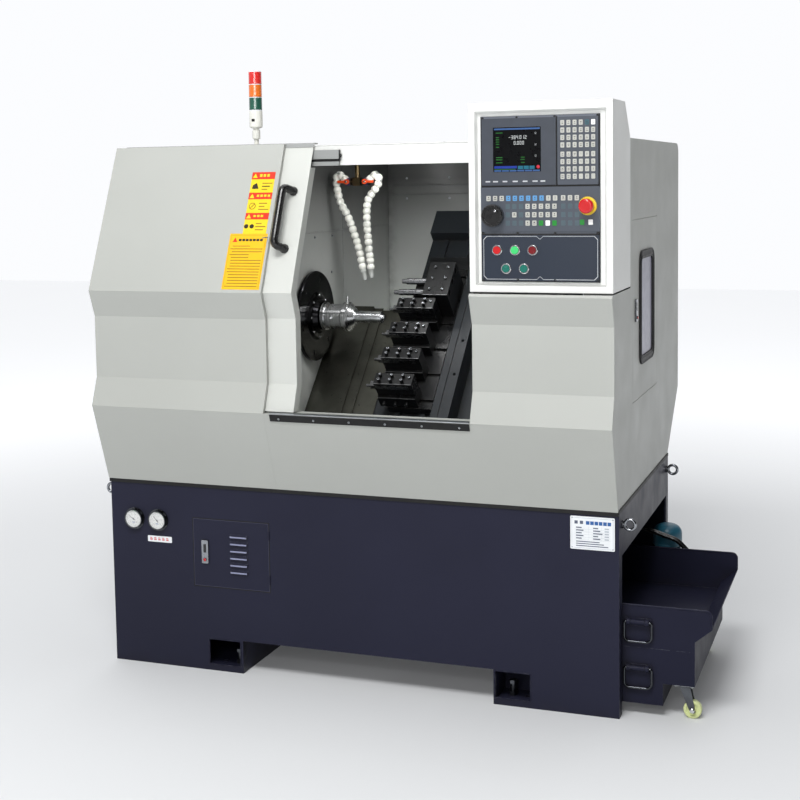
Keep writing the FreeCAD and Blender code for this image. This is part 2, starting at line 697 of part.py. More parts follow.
def slant_bed():
    """The cast bed with its two hardened guide rails."""
    front = slope_point(200, -70)
    crest = slope_point(735, -70)
    outline = [(front[0], base_height), front, crest, (crest[0] + 45, crest[1]),
               (crest[0] + 120, base_height)]
    bed = prism_x(outline, 590, 1500)
    core = prism_x([(front[0] + 60, base_height - 1), (front[0] + 60, base_height + 50),
                    (crest[0] + 10, crest[1] - 90), (crest[0] + 60, base_height - 1)], 640, 1450)
    rails = [slope_box(600, 1490, s, s + 34, -70, -48) for s in rail_ss]
    return fuse(bed.cut(core), *rails)


saddle_x0, saddle_x1 = 838.0, 1062.0
table_x0, table_x1 = 862.0, 1002.0
table_s0, table_s1 = 300.0, 905.0
fixed_left_end = 690.0


def fixed_way_cover():
    """The plate fixed to the chamber's left wall, which the moving plates run under."""
    plate = slope_box(wall_x, fixed_left_end, cover_low_s, cover_high_s, -2, 0)
    lip = slope_box(wall_x, fixed_left_end, cover_high_s - 2, cover_high_s, -20, -2)
    return fuse(plate, lip)


def wiper(x, level):
    """The strip at a plate's hidden end that runs against the plate above."""
    lift = -level * plate_step
    top = lift + plate_step - 2 - seat_gap
    return slope_box(x, x + 5, cover_low_s + 10, cover_high_s - 20, lift - 1, top)


def way_cover(x0, x1, level):
    """A telescopic plate; each level runs under the last."""
    lift = -level * plate_step
    plate = slope_box(x0, x1, cover_low_s + 3, cover_high_s - 4 * level, lift - 2, lift)
    return fuse(plate, wiper(x0, level))


tail_x0, tail_x1 = 732.0, 1290.0
table_ways = [882.0, 962.0]


def z_saddle():
    """The saddle: its guide shoes, its long carriage for the tool table and its cover tails."""
    shoes = [slope_box(saddle_x0 + 12, saddle_x1 - 12, s - 18, s + 52, -66, -18)
             .cut(slope_box(saddle_x0, saddle_x1, s - seat_gap, s + 34 + seat_gap, -71, -48 + seat_gap))
             for s in rail_ss]
    body = slope_box(saddle_x0, saddle_x1, cover_low_s + 30, 1110, -20, 24)
    nose = slope_box(saddle_x0, saddle_x1, cover_low_s + 6, cover_low_s + 30, -20, 10)
    tail = slope_box(tail_x0, tail_x1, cover_low_s + 6, cover_high_s - 16, -17, -15)
    guard = slope_box(table_x1 + 4, saddle_x1, cover_low_s + 30, 1110, 24, 62)
    slit = slope_box(table_x1 + 26, table_x1 + 30, cover_low_s + 60, 1060, 58, 63)
    crest = slope_box(saddle_x0, saddle_x1, table_s1 + 105, 1110, 24, 62)
    ways = [slope_box(x, x + 16, table_s0 - 60, table_s1 + 100, 24, 34) for x in table_ways]
    guard = guard.cut(slit)
    for s in (430.0, 560.0, 860.0):
        guard = guard.cut(slope_rod(table_x1 + 46, s, 50, 5, 14))
    return fuse(body, nose, tail, wiper(tail_x0, 3), guard, crest, *shoes + ways)


block_pitch = 98.0
spindle_s = (spindle_y + spindle_z - slant_z) * SLOPE
spindle_lift = (spindle_z - slant_z - spindle_y) * SLOPE
block_width = 50.0
block_x0, block_x1 = 842.0, 962.0
block_low, block_ledge = 58.0, 100.0
shank = 16.0
block_high = spindle_lift + 8
# the blocks lie either side of the spindle's axis, which looks into the gap between two of them
first_block_s = spindle_s + (block_pitch - block_width) / 2
block_ss = [first_block_s + (i - 3) * block_pitch for i in range(4)]


def tool_table():
    table = slope_box(table_x0, table_x1, table_s0, table_s1, 34 + seat_gap, 58)
    for x in table_ways:
        table = table.cut(slope_box(x - seat_gap, x + 16 + seat_gap, table_s0 - 1, table_s1 + 1,
                                    30, 34 + seat_gap + 0.01))
    for i in range(6):
        s = table_s0 + 22 + i * 98
        table = table.cut(slope_box(table_x0 - 1, table_x1 + 1, s, s + 12, 50, 59))
    return table


def tool_block(s):
    """A gang block: a body, and a clamp with a square tool slot along its lower side."""
    body = slope_box(block_x0, block_x1, s, s + block_width, block_low, block_ledge)
    clamp = slope_box(block_x0, block_x1, s + 10, s + block_width, block_ledge, block_high)
    slot = slope_box(block_x0 - 1, block_x1 - 12, s + 9, s + 10 + shank, spindle_lift - shank,
                     spindle_lift)
    block = fuse(body, clamp).cut(slot)
    for i in range(3):
        x = block_x0 + 18 + i * 36
        block = block.cut(slope_rod(x, s + 38, block_high - 6, 4, 8))
        block = block.cut(slope_rod(x, s + 18, spindle_lift - 1, 3.4, 12))
        y, z = slope_point(s - 1, block_low + 22)
        block = block.cut(rod(x, y, z, vec(0, SLOPE, SLOPE), 4, 7))
    return block


boring_s = first_block_s + block_width + 7
boring_xs = (918.0, 1000.0)
boring_bore = 10.0
boring_holes = [boring_s + 22 + i * 45 for i in range(3)]


def boring_block():
    """The upper block, bored for round tools at the spindle's height."""
    x0, x1 = boring_xs
    block = slope_box(x0, x1, boring_s, boring_s + 134, block_low, spindle_lift + 16)
    shoulder = slope_box(x0 - 40, x0, boring_s, boring_s + 92, block_low, spindle_lift - 14)
    whole = fuse(block, shoulder)
    for s in boring_holes:
        y, z = slope_point(s, spindle_lift)
        whole = whole.cut(rod(x0 - 1, y, z, X_AXIS, boring_bore, x1 - x0 + 2))
        for x in (x0 + 20, x1 - 20):
            whole = whole.cut(slope_rod(x, s, spindle_lift + 8, 4, 10))
    return whole


def tool_bits():
    """Square shank tools in the gang blocks, and round bars in the upper block."""
    tools = []
    slack = 0.2
    for s in block_ss:
        low, high = spindle_lift - shank + slack, spindle_lift - slack
        start = s + 10 - shank / 8
        bar = slope_box(block_x0 - 13, block_x1 - 13, start, s + 10 + shank - slack, low, high)
        tip = slope_box(block_x0 - 24, block_x0 - 13, start, start + 6, low + 9, high)
        tools.append(fuse(bar, tip))
    for s, reach in zip(boring_holes, (100.0, 84.0)):
        y, z = slope_point(s, spindle_lift)
        x0 = boring_xs[0]
        bar = rod(x0 - reach + 16, y, z, X_AXIS, boring_bore - running, reach + 44)
        neck = rod(x0 - reach, y, z, X_AXIS, 7, 16)
        tools.append(fuse(bar, neck))
    return tools


# ---------------------------------------------------------------- coolant supply over the chuck
coolant_y = 420.0
manifold_z = 1492.0
valve_xs = [650.0, 712.0]
segment_pitch = 15.5
hose_routes = [
    [(638, 1500), (616, 1516), (608, 1496), (612, 1462),
     (622, 1424), (645, 1378), (672, 1290), (700, 1188)],
    [(724, 1500), (746, 1514), (754, 1492), (738, 1464),
     (714, 1434), (706, 1380), (708, 1310), (727, 1196)],
]
lever_pin = 4.0


def coolant_manifold():
    block = box(668, 694, coolant_y - 11, coolant_y + 11, manifold_z - 13, manifold_z + 13)
    riser = rod(681, coolant_y, manifold_z, Z_AXIS, 8, roof_z - sheet - manifold_z)
    pieces = [block, riser, rod(638, coolant_y, manifold_z, X_AXIS, 7, 86)]
    for x in valve_xs:
        pieces.append(rod(x - 11, coolant_y, manifold_z, X_AXIS, 12, 22))
        pieces.append(rod(x, coolant_y, manifold_z, Y_AXIS * -1, lever_pin, 22))
    for route, x in zip(hose_routes, (638, 724)):
        pieces.append(rod(route[0][0], coolant_y, manifold_z - 2, Z_AXIS, 9, 10))
    return fuse(pieces[0], *pieces[1:])


def valve_lever(x, side):
    """A small lever on the valve's stem, pointing outwards."""
    hub = tube(x, coolant_y - 22, manifold_z, Y_AXIS, 8, lever_pin + running, 9)
    arm = rounded_box_y(min(x, x + side * 30), max(x, x + side * 30), manifold_z - 4, manifold_z + 4,
                        coolant_y - 22, coolant_y - 17, 2)
    arm = arm.cut(rod(x, coolant_y - 30, manifold_z, Y_AXIS, lever_pin + running, 30))
    return fuse(hub, arm)


def coolant_hose(route):
    """A chain of ball-and-socket segments that ends in a tapered nozzle."""
    points = [vec(x, coolant_y, z) for x, z in route]
    curve = Part.BSplineCurve()
    curve.interpolate(points)
    length = curve.length()
    count = int(length / segment_pitch)
    stops = [curve.value(curve.parameterAtDistance(i * segment_pitch)) for i in range(count + 1)]
    pieces = []
    for a, b in zip(stops, stops[1:]):
        run = b.sub(a)
        pieces.append(Part.makeSphere(8.2, a))
        pieces.append(Part.makeCone(6.2, 7.6, run.Length * 0.72, a, run))
    run = stops[-1].sub(stops[-2]).normalize()
    pieces.append(Part.makeSphere(8.2, stops[-1]))
    pieces.append(Part.makeCone(7.5, 4, 26, stops[-1], run))
    return pieces[0].multiFuse(pieces[1:]).cut(coolant_manifold())


# ---------------------------------------------------------------- control cabinet
recess = (1219.0, 1581.0, 1205.0, 1677.0)
panel_x0, panel_x1, panel_z0, panel_z1 = 1234.0, 1562.0, 1216.0, 1663.0
panel_y = cabinet_front + panel_depth
button_places = {"stop_button": (1279.0, 1302.0), "start_button": (1329.0, 1302.0),
                 "power_off_button": (1378.0, 1302.0), "pump_button": (1304.0, 1252.0),
                 "light_button": (1354.0, 1252.0)}
button_radius = 10.4
bezel_radius = 14.0
bezel_height = 5.0
estop_x, estop_z, estop_radius = 1529.0, 1420.0, 20.0
estop_stem = 8.0
wheel_x, wheel_z, dial_radius = 1269.0, 1396.0, 30.0
wheel_stem = 6.0
lcd_box = (1238.0, 1444.0, 1477.0, 1657.0)
keypad_box = (1448.0, 1558.0, 1477.0, 1657.0)
screen_box = (1270.0, 1403.0, 1513.0, 1633.0)


def control_cabinet():
    outline = [(cabinet_front, cabinet_bottom), (cabinet_front, cabinet_top), (cabinet_back, cabinet_top),
               (cabinet_slope_y, roof_z), (cabinet_slope_y, cabinet_bottom)]
    outer = prism_x(outline, right_cover_start, cover_right)
    t = sheet
    inner_front = cabinet_front + panel_depth + 3
    inside = [(inner_front, cabinet_bottom + t), (inner_front, cabinet_top - t),
              (cabinet_back - 1, cabinet_top - t), (cabinet_slope_y - t, roof_z),
              (cabinet_slope_y - t, cabinet_bottom + t)]
    hollow = prism_x(inside, right_cover_start + t, cover_right - t)
    x0, x1, z0, z1 = recess
    window = box(x0 + 15, x1 - 19, cabinet_front - 1, panel_y + 4, panel_z0, panel_z1)
    slant = [vec(x0, cabinet_front, z0), vec(x1, cabinet_front, z0), vec(x1, cabinet_front, z1),
             vec(x0, cabinet_front, z1)]
    deep = [vec(x0 + 6, panel_y, z0 + 6), vec(x1 - 6, panel_y, z0 + 6), vec(x1 - 6, panel_y, z1 - 6),
            vec(x0 + 6, panel_y, z1 - 6)]
    rims = [Part.Wire(Part.makePolygon(points + [points[0]])) for points in (slant, deep)]
    recess_cut = Part.makeLoft(rims, True, True)
    return outer.cut(hollow).cut(recess_cut).cut(window)


def control_panel():
    """The dark panel with its raised button bezels, stop collar and film-covered machine keys."""
    plate = box(panel_x0, panel_x1, panel_y - 3, panel_y, panel_z0, panel_z1)
    lower = box(panel_x0, panel_x1, panel_y - 4, panel_y - 3, panel_z0, 1346)
    middle = box(panel_x0, panel_x1, panel_y - 5, panel_y - 3, 1352, 1472)
    front = panel_y - 4
    pieces = [lower, middle]
    for x, z in button_places.values():
        pieces.append(rod(x, front - bezel_height, z, Y_AXIS, bezel_radius, bezel_height))
        pieces.append(rod(x, panel_y, z, Y_AXIS, bezel_radius, 24))
    pieces.append(rod(estop_x, panel_y - 8, estop_z, Y_AXIS, 24, 5))
    pieces.append(rod(estop_x, panel_y, estop_z, Y_AXIS, 16, 26))
    pieces.append(rod(wheel_x, panel_y - 7, wheel_z, Y_AXIS, 22, 4))
    for x, z in machine_keys():
        pieces.append(box(x - 6, x + 6, panel_y - 5.8, panel_y - 5, z - 7, z + 7))
    panel = plate.fuse(pieces)
    for x, z in button_places.values():
        panel = panel.cut(rod(x, front - bezel_height - 1, z, Y_AXIS, button_radius + running,
                              bezel_height + 24))
    panel = panel.cut(rod(estop_x, panel_y - 20, estop_z, Y_AXIS, estop_stem + running, 47))
    panel = panel.cut(rod(wheel_x, panel_y - 20, wheel_z, Y_AXIS, wheel_stem + running, 40))
    return panel.removeSplitter()


def machine_keys():
    """Centres of the machine panel's keys, in four rows."""
    pitch = 18.5
    top = [(1256 + i * pitch, 1442.0) for i in range(11)] + [(1463 + i * pitch, 1442.0) for i in range(3)]
    rows = [(1365 + i * pitch, z) for z in (1420.0, 1397.5, 1375.0) for i in range(5)]
    return top + rows + [(1328.0, 1397.5), (1514.0, 1377.0), (1537.0, 1377.0)]


def lcd_unit():
    x0, x1, z0, z1 = lcd_box
    front = panel_y - 3
    bezel = rounded_box_y(x0, x1, z0, z1, front - 4, front, 3)
    sx0, sx1, sz0, sz1 = screen_box
    return bezel.cut(box(sx0, sx1, front - 5, front - 2.5, sz0, sz1))


def keypad():
    x0, x1, z0, z1 = keypad_box
    front = panel_y - 3
    plate = rounded_box_y(x0, x1, z0, z1, front - 4, front, 3)
    keys = []
    for row in range(8):
        for column in range(6):
            x = 1462 + column * 16.6
            z = 1641 - row * 19.6 - (5 if row > 3 else 0)
            keys.append(box(x - 5.4, x + 5.4, front - 5, front - 4, z - 7, z + 7))
    return plate.fuse(keys)


def push_button(x, z):
    top = panel_y - 4 - bezel_height - 3
    return rod(x, top, z, Y_AXIS, button_radius, 24)


def estop_button():
    stem = rod(estop_x, panel_y - 22, estop_z, Y_AXIS, estop_stem, 40)
    cap = rod(estop_x, panel_y - 34, estop_z, Y_AXIS, estop_radius, 14)
    cap = cap.makeFillet(6, [e for e in cap.Edges if abs(e.BoundBox.YMax - panel_y + 34) < 1e-3])
    return fuse(stem, cap)


def handwheel():
    stem = rod(wheel_x, panel_y - 12, wheel_z, Y_AXIS, wheel_stem, 26)
    dial = rod(wheel_x, panel_y - 25, wheel_z, Y_AXIS, dial_radius, 17)
    dial = dial.makeChamfer(2, [e for e in dial.Edges if abs(e.BoundBox.YMax - panel_y + 25) < 1e-3])
    dish = rod(wheel_x, panel_y - 26, wheel_z, Y_AXIS, 23, 4)
    knob = rod(wheel_x + 13, panel_y - 36, wheel_z + 13, Y_AXIS, 6, 15)
    return fuse(stem, dial.cut(dish), knob)


# ---------------------------------------------------------------- signal tower
tower_x, tower_y = 450.0, 170.0
lens_radius = 20.0
lens_height = 36.0
lens_gap = 3.0
lens_z0 = 1716.0


def signal_tower():
    """Mast, neck and base, then the three lenses on their spacer discs."""
    foot = box(tower_x - 14, tower_x + 14, tower_y - 14, tower_y + 14, roof_z, roof_z + 8)
    mast = rod(tower_x, tower_y, roof_z, Z_AXIS, 7, 58)
    socket = rod(tower_x, tower_y, roof_z + 22, Z_AXIS, 12, 28)
    barrel = rod(tower_x, tower_y, roof_z + 56, Z_AXIS, lens_radius, lens_z0 - roof_z - 56 - lens_gap)
    body = fuse(foot, mast, socket, barrel)
    pieces = []
    for i in range(3):
        z = lens_z0 + i * (lens_height + lens_gap)
        body = body.fuse(rod(tower_x, tower_y, z - lens_gap, Z_AXIS, lens_radius - 1, lens_gap))
        pieces.append(rod(tower_x, tower_y, z, Z_AXIS, lens_radius, lens_height))
    top = lens_z0 + 3 * (lens_height + lens_gap) - lens_gap
    cap = rod(tower_x, tower_y, top, Z_AXIS, lens_radius - 1, 4)
    core = rod(tower_x, tower_y, roof_z + 100, Z_AXIS, 4, top - roof_z - 100)
    lenses = [lens.cut(rod(tower_x, tower_y, 0, Z_AXIS, 4, 3000)) for lens in pieces]
    return [fuse(body, core, cap)] + lenses


# ---------------------------------------------------------------- side door
glass_y0, glass_y1, glass_z0, glass_z1 = 325.0, 534.0, 957.0, 1267.0
side_latch_y, side_latch_z = 256.0, 1080.0


def side_door():
    y0, y1 = side_y0 + panel_gap, side_y1 - panel_gap
    z0, z1 = side_z0 + panel_gap, side_z1 - panel_gap
    skin = box(cover_right - sheet, cover_right, y0, y1, z0, z1)
    rim = box(cover_right - 16, cover_right, y0, y1, z0, z1)
    rim = rim.cut(box(cover_right - 20, cover_right + 1, y0 + 2, y1 - 2, z0 + 2, z1 - 2))
    door = fuse(skin, rim)
    door = door.cut(rounded_box_x(glass_y0, glass_y1, glass_z0, glass_z1,
                                  cover_right - 20, cover_right + 5, 24))
    slot = box(cover_right - 10, cover_right + 1, side_latch_y - 6, side_latch_y + 6,
               side_latch_z + 8, side_latch_z + 46)
    return door.cut(slot)


def side_window():
    lap = 12
    flange = rounded_box_x(glass_y0 - lap, glass_y1 + lap, glass_z0 - lap, glass_z1 + lap,
                           cover_right, cover_right + 4, 34)
    plug = rounded_box_x(glass_y0, glass_y1, glass_z0, glass_z1, cover_right - 8, cover_right, 24)
    hole = rounded_box_x(glass_y0 + lap, glass_y1 - lap, glass_z0 + lap, glass_z1 - lap,
                         cover_right - 20, cover_right + 5, 16)
    seat = rounded_box_x(glass_y0 + 5, glass_y1 - 5, glass_z0 + 5, glass_z1 - 5,
                         cover_right - 5, cover_right - 1, 20)
    gasket = fuse(flange, plug).cut(hole).cut(seat)
    return gasket, seat


# ---------------------------------------------------------------- chip cart
pump_x, pump_y = base_length + 14.0, 738.0
pump_stem = 26.0
pump_back = 48.0
caster_ys = [cart_front + 29, cart_back - 29]
tank_ear_z = 137.0


def cart_tank():
    t = sheet
    outline = [(cart_left, notch_z), (cart_left + notch_length, notch_z),
               (cart_left + notch_length, tank_bottom), (cart_right - notch_length, tank_bottom),
               (cart_right - notch_length, notch_z), (cart_right, notch_z), (cart_right, tank_top),
               (cart_left, tank_top)]
    well_left, well_right = cart_left + notch_length + t, cart_right - notch_length - t
    inner = [(cart_left + t, notch_z + t), (well_left, notch_z + t), (well_left, tank_bottom + t),
             (well_right, tank_bottom + t), (well_right, notch_z + t), (cart_right - t, notch_z + t),
             (cart_right - t, tank_top + 1), (cart_left + t, tank_top + 1)]
    tank = prism_y(outline, cart_front, cart_back)
    shelf_left, shelf_right, shelf_back = pump_x - 75, pump_x + 85, pump_y + pump_back
    shelf = box(shelf_left, shelf_right, cart_back, shelf_back, tank_bottom, tank_top)
    pocket = box(shelf_left + t, shelf_right - t, cart_back - 1, shelf_back - t,
                 tank_bottom + t, tank_top - t)
    tank = fuse(tank, shelf).cut(prism_y(inner, cart_front + t, cart_back - t))
    tank = tank.cut(pocket).cut(rod(pump_x, pump_y, tank_top - 5, Z_AXIS, pump_stem + 2, 10))
    forks = [fixed_fork(cart_left + 44, y) for y in caster_ys]
    return fuse(tank, ear(tank_ear_z, cart_front), *forks)


swivel_x = cart_right - 31.0
swivel_pin = 6.0
axle_radius = 4.0
ear_xs = [base_length + 18.0, base_length + 70.0]
tray_ear_z = 268.0
ear_reach = 9.0
bail_radius = 3.5


def ear(z, y):
    """The two lugs that hold a bail handle, on the strip that joins them."""
    strap = box(ear_xs[0] - 6, ear_xs[1] + 6, y - 2, y, z - 9, z + 9)
    lugs = [box(x - 4, x + 4, y - ear_reach - 6, y, z - 6, z + 6) for x in ear_xs]
    lugs = fuse(strap, *lugs)
    return lugs.cut(rod(ear_xs[0] - 10, y - ear_reach, z, X_AXIS, bail_radius + running, 90))


def bail(z):
    """A round bail whose ends lie in the two lugs. It hangs down."""
    y = cart_front - ear_reach
    x0, x1 = ear_xs[0] - 4, ear_xs[1] + 4
    low = z - 56
    inner0, inner1 = x0 + 14, x1 - 14
    left = x0 - 8
    right = x1 + 8
    points = [vec(inner0, y, z), vec(left, y, z), vec(left, y, low), vec(right, y, low),
              vec(right, y, z), vec(inner1, y, z)]
    return swept(points, [5, 16, 16, 5], bail_radius)


def fixed_fork(x, y):
    """A rigid caster fork under the notch: plate, two cheeks and the axle."""
    plate = box(x - 22, x + 22, y - 18, y + 18, notch_z - 4, notch_z)
    half = wheel_width / 2
    cheeks = [box(x - 9, x + 9, start, start + 3, wheel_radius - 8, notch_z - 4)
              for start in (y - half - 4, y + half + 1)]
    axle = rod(x, y - wheel_width / 2 - 6, wheel_radius, Y_AXIS, axle_radius, wheel_width + 12)
    return fuse(plate, axle, *cheeks)


def swivel_fork(y, way):
    """A swivel caster's fork, its wheel behind the swivel pin: way is 1 to the right, -1 to the left."""
    top = notch_z - seat_gap
    race = cone(swivel_x, y, top - 8, Z_AXIS, 15, 19, 8)
    pin = rod(swivel_x, y, top - 8, Z_AXIS, swivel_pin, 8)
    half = wheel_width / 2
    hub_x = swivel_x + caster_trail
    cheek = [(swivel_x - 13, top - 8), (swivel_x + 16, top - 8), (hub_x + 9, wheel_radius - 4),
             (hub_x + 4, wheel_radius - 9), (hub_x - 6, wheel_radius - 6)]
    cheeks = [prism_y(cheek, y - half - 4, y - half - 1), prism_y(cheek, y + half + 1, y + half + 4)]
    crown = box(swivel_x - 13, swivel_x + 16, y - half - 4, y + half + 4, top - 11, top - 8)
    axle = rod(hub_x, y - half - 7, wheel_radius, Y_AXIS, axle_radius, 2 * half + 14)
    fork = fuse(race, pin, crown, axle, *cheeks)
    return fork if way > 0 else fork.mirror(vec(swivel_x, 0, 0), vec(1, 0, 0))


def caster_wheel(x, y):
    half = wheel_width / 2
    tyre = rod(x, y - half, wheel_radius, Y_AXIS, wheel_radius, wheel_width)
    tyre = tyre.makeFillet(3, [e for e in tyre.Edges if abs(e.Length - 2 * math.pi * wheel_radius) < 1])
    dish = [tube(x, y - half - 1, wheel_radius, Y_AXIS, 17, 9, 4),
            tube(x, y + half - 3, wheel_radius, Y_AXIS, 17, 9, 4)]
    wheel = tyre.cut(dish[0]).cut(dish[1])
    return wheel.cut(rod(x, y - half - 1, wheel_radius, Y_AXIS, axle_radius + running, wheel_width + 2))


def chip_tray():
    t = sheet
    outline = [(tray_left, tank_top), (cart_right, tank_top), (cart_right, tray_knee_z),
               (tray_lip_x, tray_lip_z), (tray_lip_x, tray_top), (tray_left, tray_top)]
    block = prism_y(outline, cart_front, cart_back)
    corner = [e for e in block.Edges if along(e, Y_AXIS)
              and abs(e.Vertexes[0].Point.x - tray_lip_x) < 1e-3 and e.Vertexes[0].Point.z > tray_lip_z + 1]
    block = block.makeFillet(tray_corner, corner)
    inner = [(tray_left + t, tank_top + t), (cart_right - t, tank_top + t),
             (cart_right - t, tray_knee_z + 1), (tray_lip_x - t, tray_lip_z),
             (tray_lip_x + 1, tray_lip_z), (tray_lip_x + 1, tray_top + 1), (tray_left + t, tray_top + 1)]
    tray = block.cut(prism_y(inner, cart_front + t, cart_back - t))
    return fuse(tray, ear(tray_ear_z, cart_front))


hose_z = 218.0


def coolant_pump():
    flange = rod(pump_x, pump_y, tank_top, Z_AXIS, 47, 6)
    body = rod(pump_x, pump_y, tank_top, Z_AXIS, 36, 120)
    cap = rod(pump_x, pump_y, tank_top + 112, Z_AXIS, 46, 66)
    cap = cap.makeFillet(30, [e for e in cap.Edges if abs(e.BoundBox.ZMin - tank_top - 178) < 1e-3])
    ribs = [box(pump_x - 40, pump_x + 40, pump_y - 2, pump_y + 2, tank_top + 10, tank_top + 108)]
    turned = ribs[0].copy()
    turned.rotate(vec(pump_x, pump_y, 0), Z_AXIS, 90)
    stem = rod(pump_x, pump_y, tank_bottom + 20, Z_AXIS, pump_stem, tank_top - tank_bottom - 20)
    outlet = rod(pump_x + 30, pump_y, hose_z, X_AXIS, 11, 32)
    return fuse(flange, body, cap, stem, outlet, turned, *ribs)


hose_radius = 8.0


def pump_hose():
    """The delivery hose, from the pump's outlet to the bulkhead coupling under the beam."""
    x = pump_x + 62
    points = [vec(x, pump_y, hose_z), vec(x + 44, pump_y, hose_z), vec(x + 50, bulkhead_y, hose_z + 46),
              vec(x - 20, bulkhead_y, hose_z + 118), vec(bulkhead_x, bulkhead_y, hose_z + 172),
              vec(bulkhead_x, bulkhead_y, beam_bottom - 10 - seat_gap)]
    return swept(points, [22, 30, 60, 34], hose_radius)


# ---------------------------------------------------------------- write every piece
write("base_frame", *base_frame())
write("levelling_bolts", *[levelling_bolt(x, y) for x, y in level_holes])
write("eye_bolts", *[eye_bolt(y, side) for side in (-1, 1) for y in (eye_y, base_depth - eye_y)])
write("gauge_cases", *[gauge_case(x) for x in gauge_xs])
write("access_door", access_door())
latch = paddle_latch(22, 72)
latch.translate(vec(access_latch_x, 0, access_latch_z))
write("access_latch", latch)
write("left_cover", *left_cover())
write("right_cover", right_cover())
write("back_cover", *back_cover())
write("roof_panel", roof_panel())
write("door_rail", door_rail())
write("door_panel", door_panel())
write("door_window", door_window())
write("door_handle", door_handle())
write("chamber_liner", *chamber_liner())
write("headstock", *headstock())
write("spindle_bearings", *[bearing(x) for x in bearing_xs])
write("spindle_shaft", spindle_shaft())
write("chuck_flange", chuck_flange())
write("collet_nose", collet_nose())
write("turned_sample", turned_sample())
write("slant_bed", slant_bed())
write("fixed_way_cover", fixed_way_cover())
write("way_cover_1", way_cover(630, 723, 1))
write("way_cover_2", way_cover(663, 792, 2))
write("z_saddle", z_saddle())
write("tool_table", tool_table())
write("tool_blocks", boring_block(), *[tool_block(s) for s in block_ss])
write("tool_bits", *tool_bits())
write("coolant_manifold", coolant_manifold())
write("valve_lever_1", valve_lever(valve_xs[0], -1))
write("valve_lever_2", valve_lever(valve_xs[1], 1))
write("coolant_hoses", *[coolant_hose(route) for route in hose_routes])
write("control_cabinet", control_cabinet())
write("control_panel", control_panel())
write("lcd_unit", lcd_unit())
write("keypad", keypad())
for name, (x, z) in button_places.items():
    write(name, push_button(x, z))
write("estop_button", estop_button())
write("handwheel", handwheel())
write("signal_tower", *signal_tower())
write("side_door", side_door())
write("side_window", *side_window())
latch = paddle_latch(22, 64)
latch.rotate(vec(0, 0, 0), Z_AXIS, 90)
latch.translate(vec(cover_right, side_latch_y, side_latch_z))
write("side_latch", latch)
write("cart_tank", cart_tank())
write("chip_tray", chip_tray())
write("coolant_pump", coolant_pump())
write("pump_hose", pump_hose())
write("tray_handle", bail(tray_ear_z))
write("tank_handle", bail(tank_ear_z))
for place, y, way in zip(("front", "rear"), caster_ys, (1, -1)):
    write("caster_fork_" + place, swivel_fork(y, way))
    write("outer_wheel_" + place, caster_wheel(swivel_x + way * caster_trail, y))
    write("inner_wheel_" + place, caster_wheel(cart_left + 44, y))
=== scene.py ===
import math
import random

import bpy
from mathutils import Matrix, Vector


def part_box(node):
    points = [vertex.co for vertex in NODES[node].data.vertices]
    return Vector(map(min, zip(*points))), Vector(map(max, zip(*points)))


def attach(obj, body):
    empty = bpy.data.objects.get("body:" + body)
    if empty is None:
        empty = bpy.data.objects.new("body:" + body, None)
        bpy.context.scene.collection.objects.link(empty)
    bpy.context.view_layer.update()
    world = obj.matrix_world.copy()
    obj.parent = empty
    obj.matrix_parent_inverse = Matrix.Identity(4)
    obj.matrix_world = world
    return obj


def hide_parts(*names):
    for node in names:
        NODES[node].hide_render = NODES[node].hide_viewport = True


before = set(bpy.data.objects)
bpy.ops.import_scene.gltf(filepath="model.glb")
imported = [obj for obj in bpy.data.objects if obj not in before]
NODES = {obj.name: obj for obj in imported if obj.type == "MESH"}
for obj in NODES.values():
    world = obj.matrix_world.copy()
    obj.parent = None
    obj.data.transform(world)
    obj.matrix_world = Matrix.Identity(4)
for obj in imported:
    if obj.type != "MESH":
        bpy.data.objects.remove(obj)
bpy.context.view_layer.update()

# The looks of a slant-bed turning lathe. Pieces are drawn in the CAD's drawing millimetres:
# X from the base's left end, Y from its front face, Z from the floor.
ORIGIN = Vector((840.0, 415.0, 0.0))
SLOPE = math.sqrt(0.5)                     # sine and cosine of the way covers' 45 degrees
SLANT_Z = 560.0                            # where their plane meets the base's front face
LEAN_RUN, LEAN_RISE = 189.0, 432.0         # how far back and up the covers' front leans
LEAN = math.hypot(LEAN_RUN, LEAN_RISE) / LEAN_RISE
BROW_Y, BROW_Z = -83.0, 1176.0             # the foot of that leaning front
PANEL_Y = -56.0                            # the control panel's face
LINER_X, LINER_Y = 568.0, 1000.0           # the chamber's left and back walls
PUMP_X, PUMP_Y = 1614, 738
TOWER_X, TOWER_Y = 450, 170
BLOCK_PITCH = 98
SPINDLE_Y, SPINDLE_Z = 300.0, 1072.0


# ---------------------------------------------------------------- materials
def linear(*rgb):
    """8-bit sRGB to linear."""
    parts = [c / 255 for c in rgb]
    return tuple(c / 12.92 if c <= 0.04045 else ((c + 0.055) / 1.055) ** 2.4 for c in parts) + (1.0,)


def scaled(color, k):
    """The linear colour, k times as bright."""
    return tuple(min(1.0, c * k) for c in color[:3]) + (1.0,)


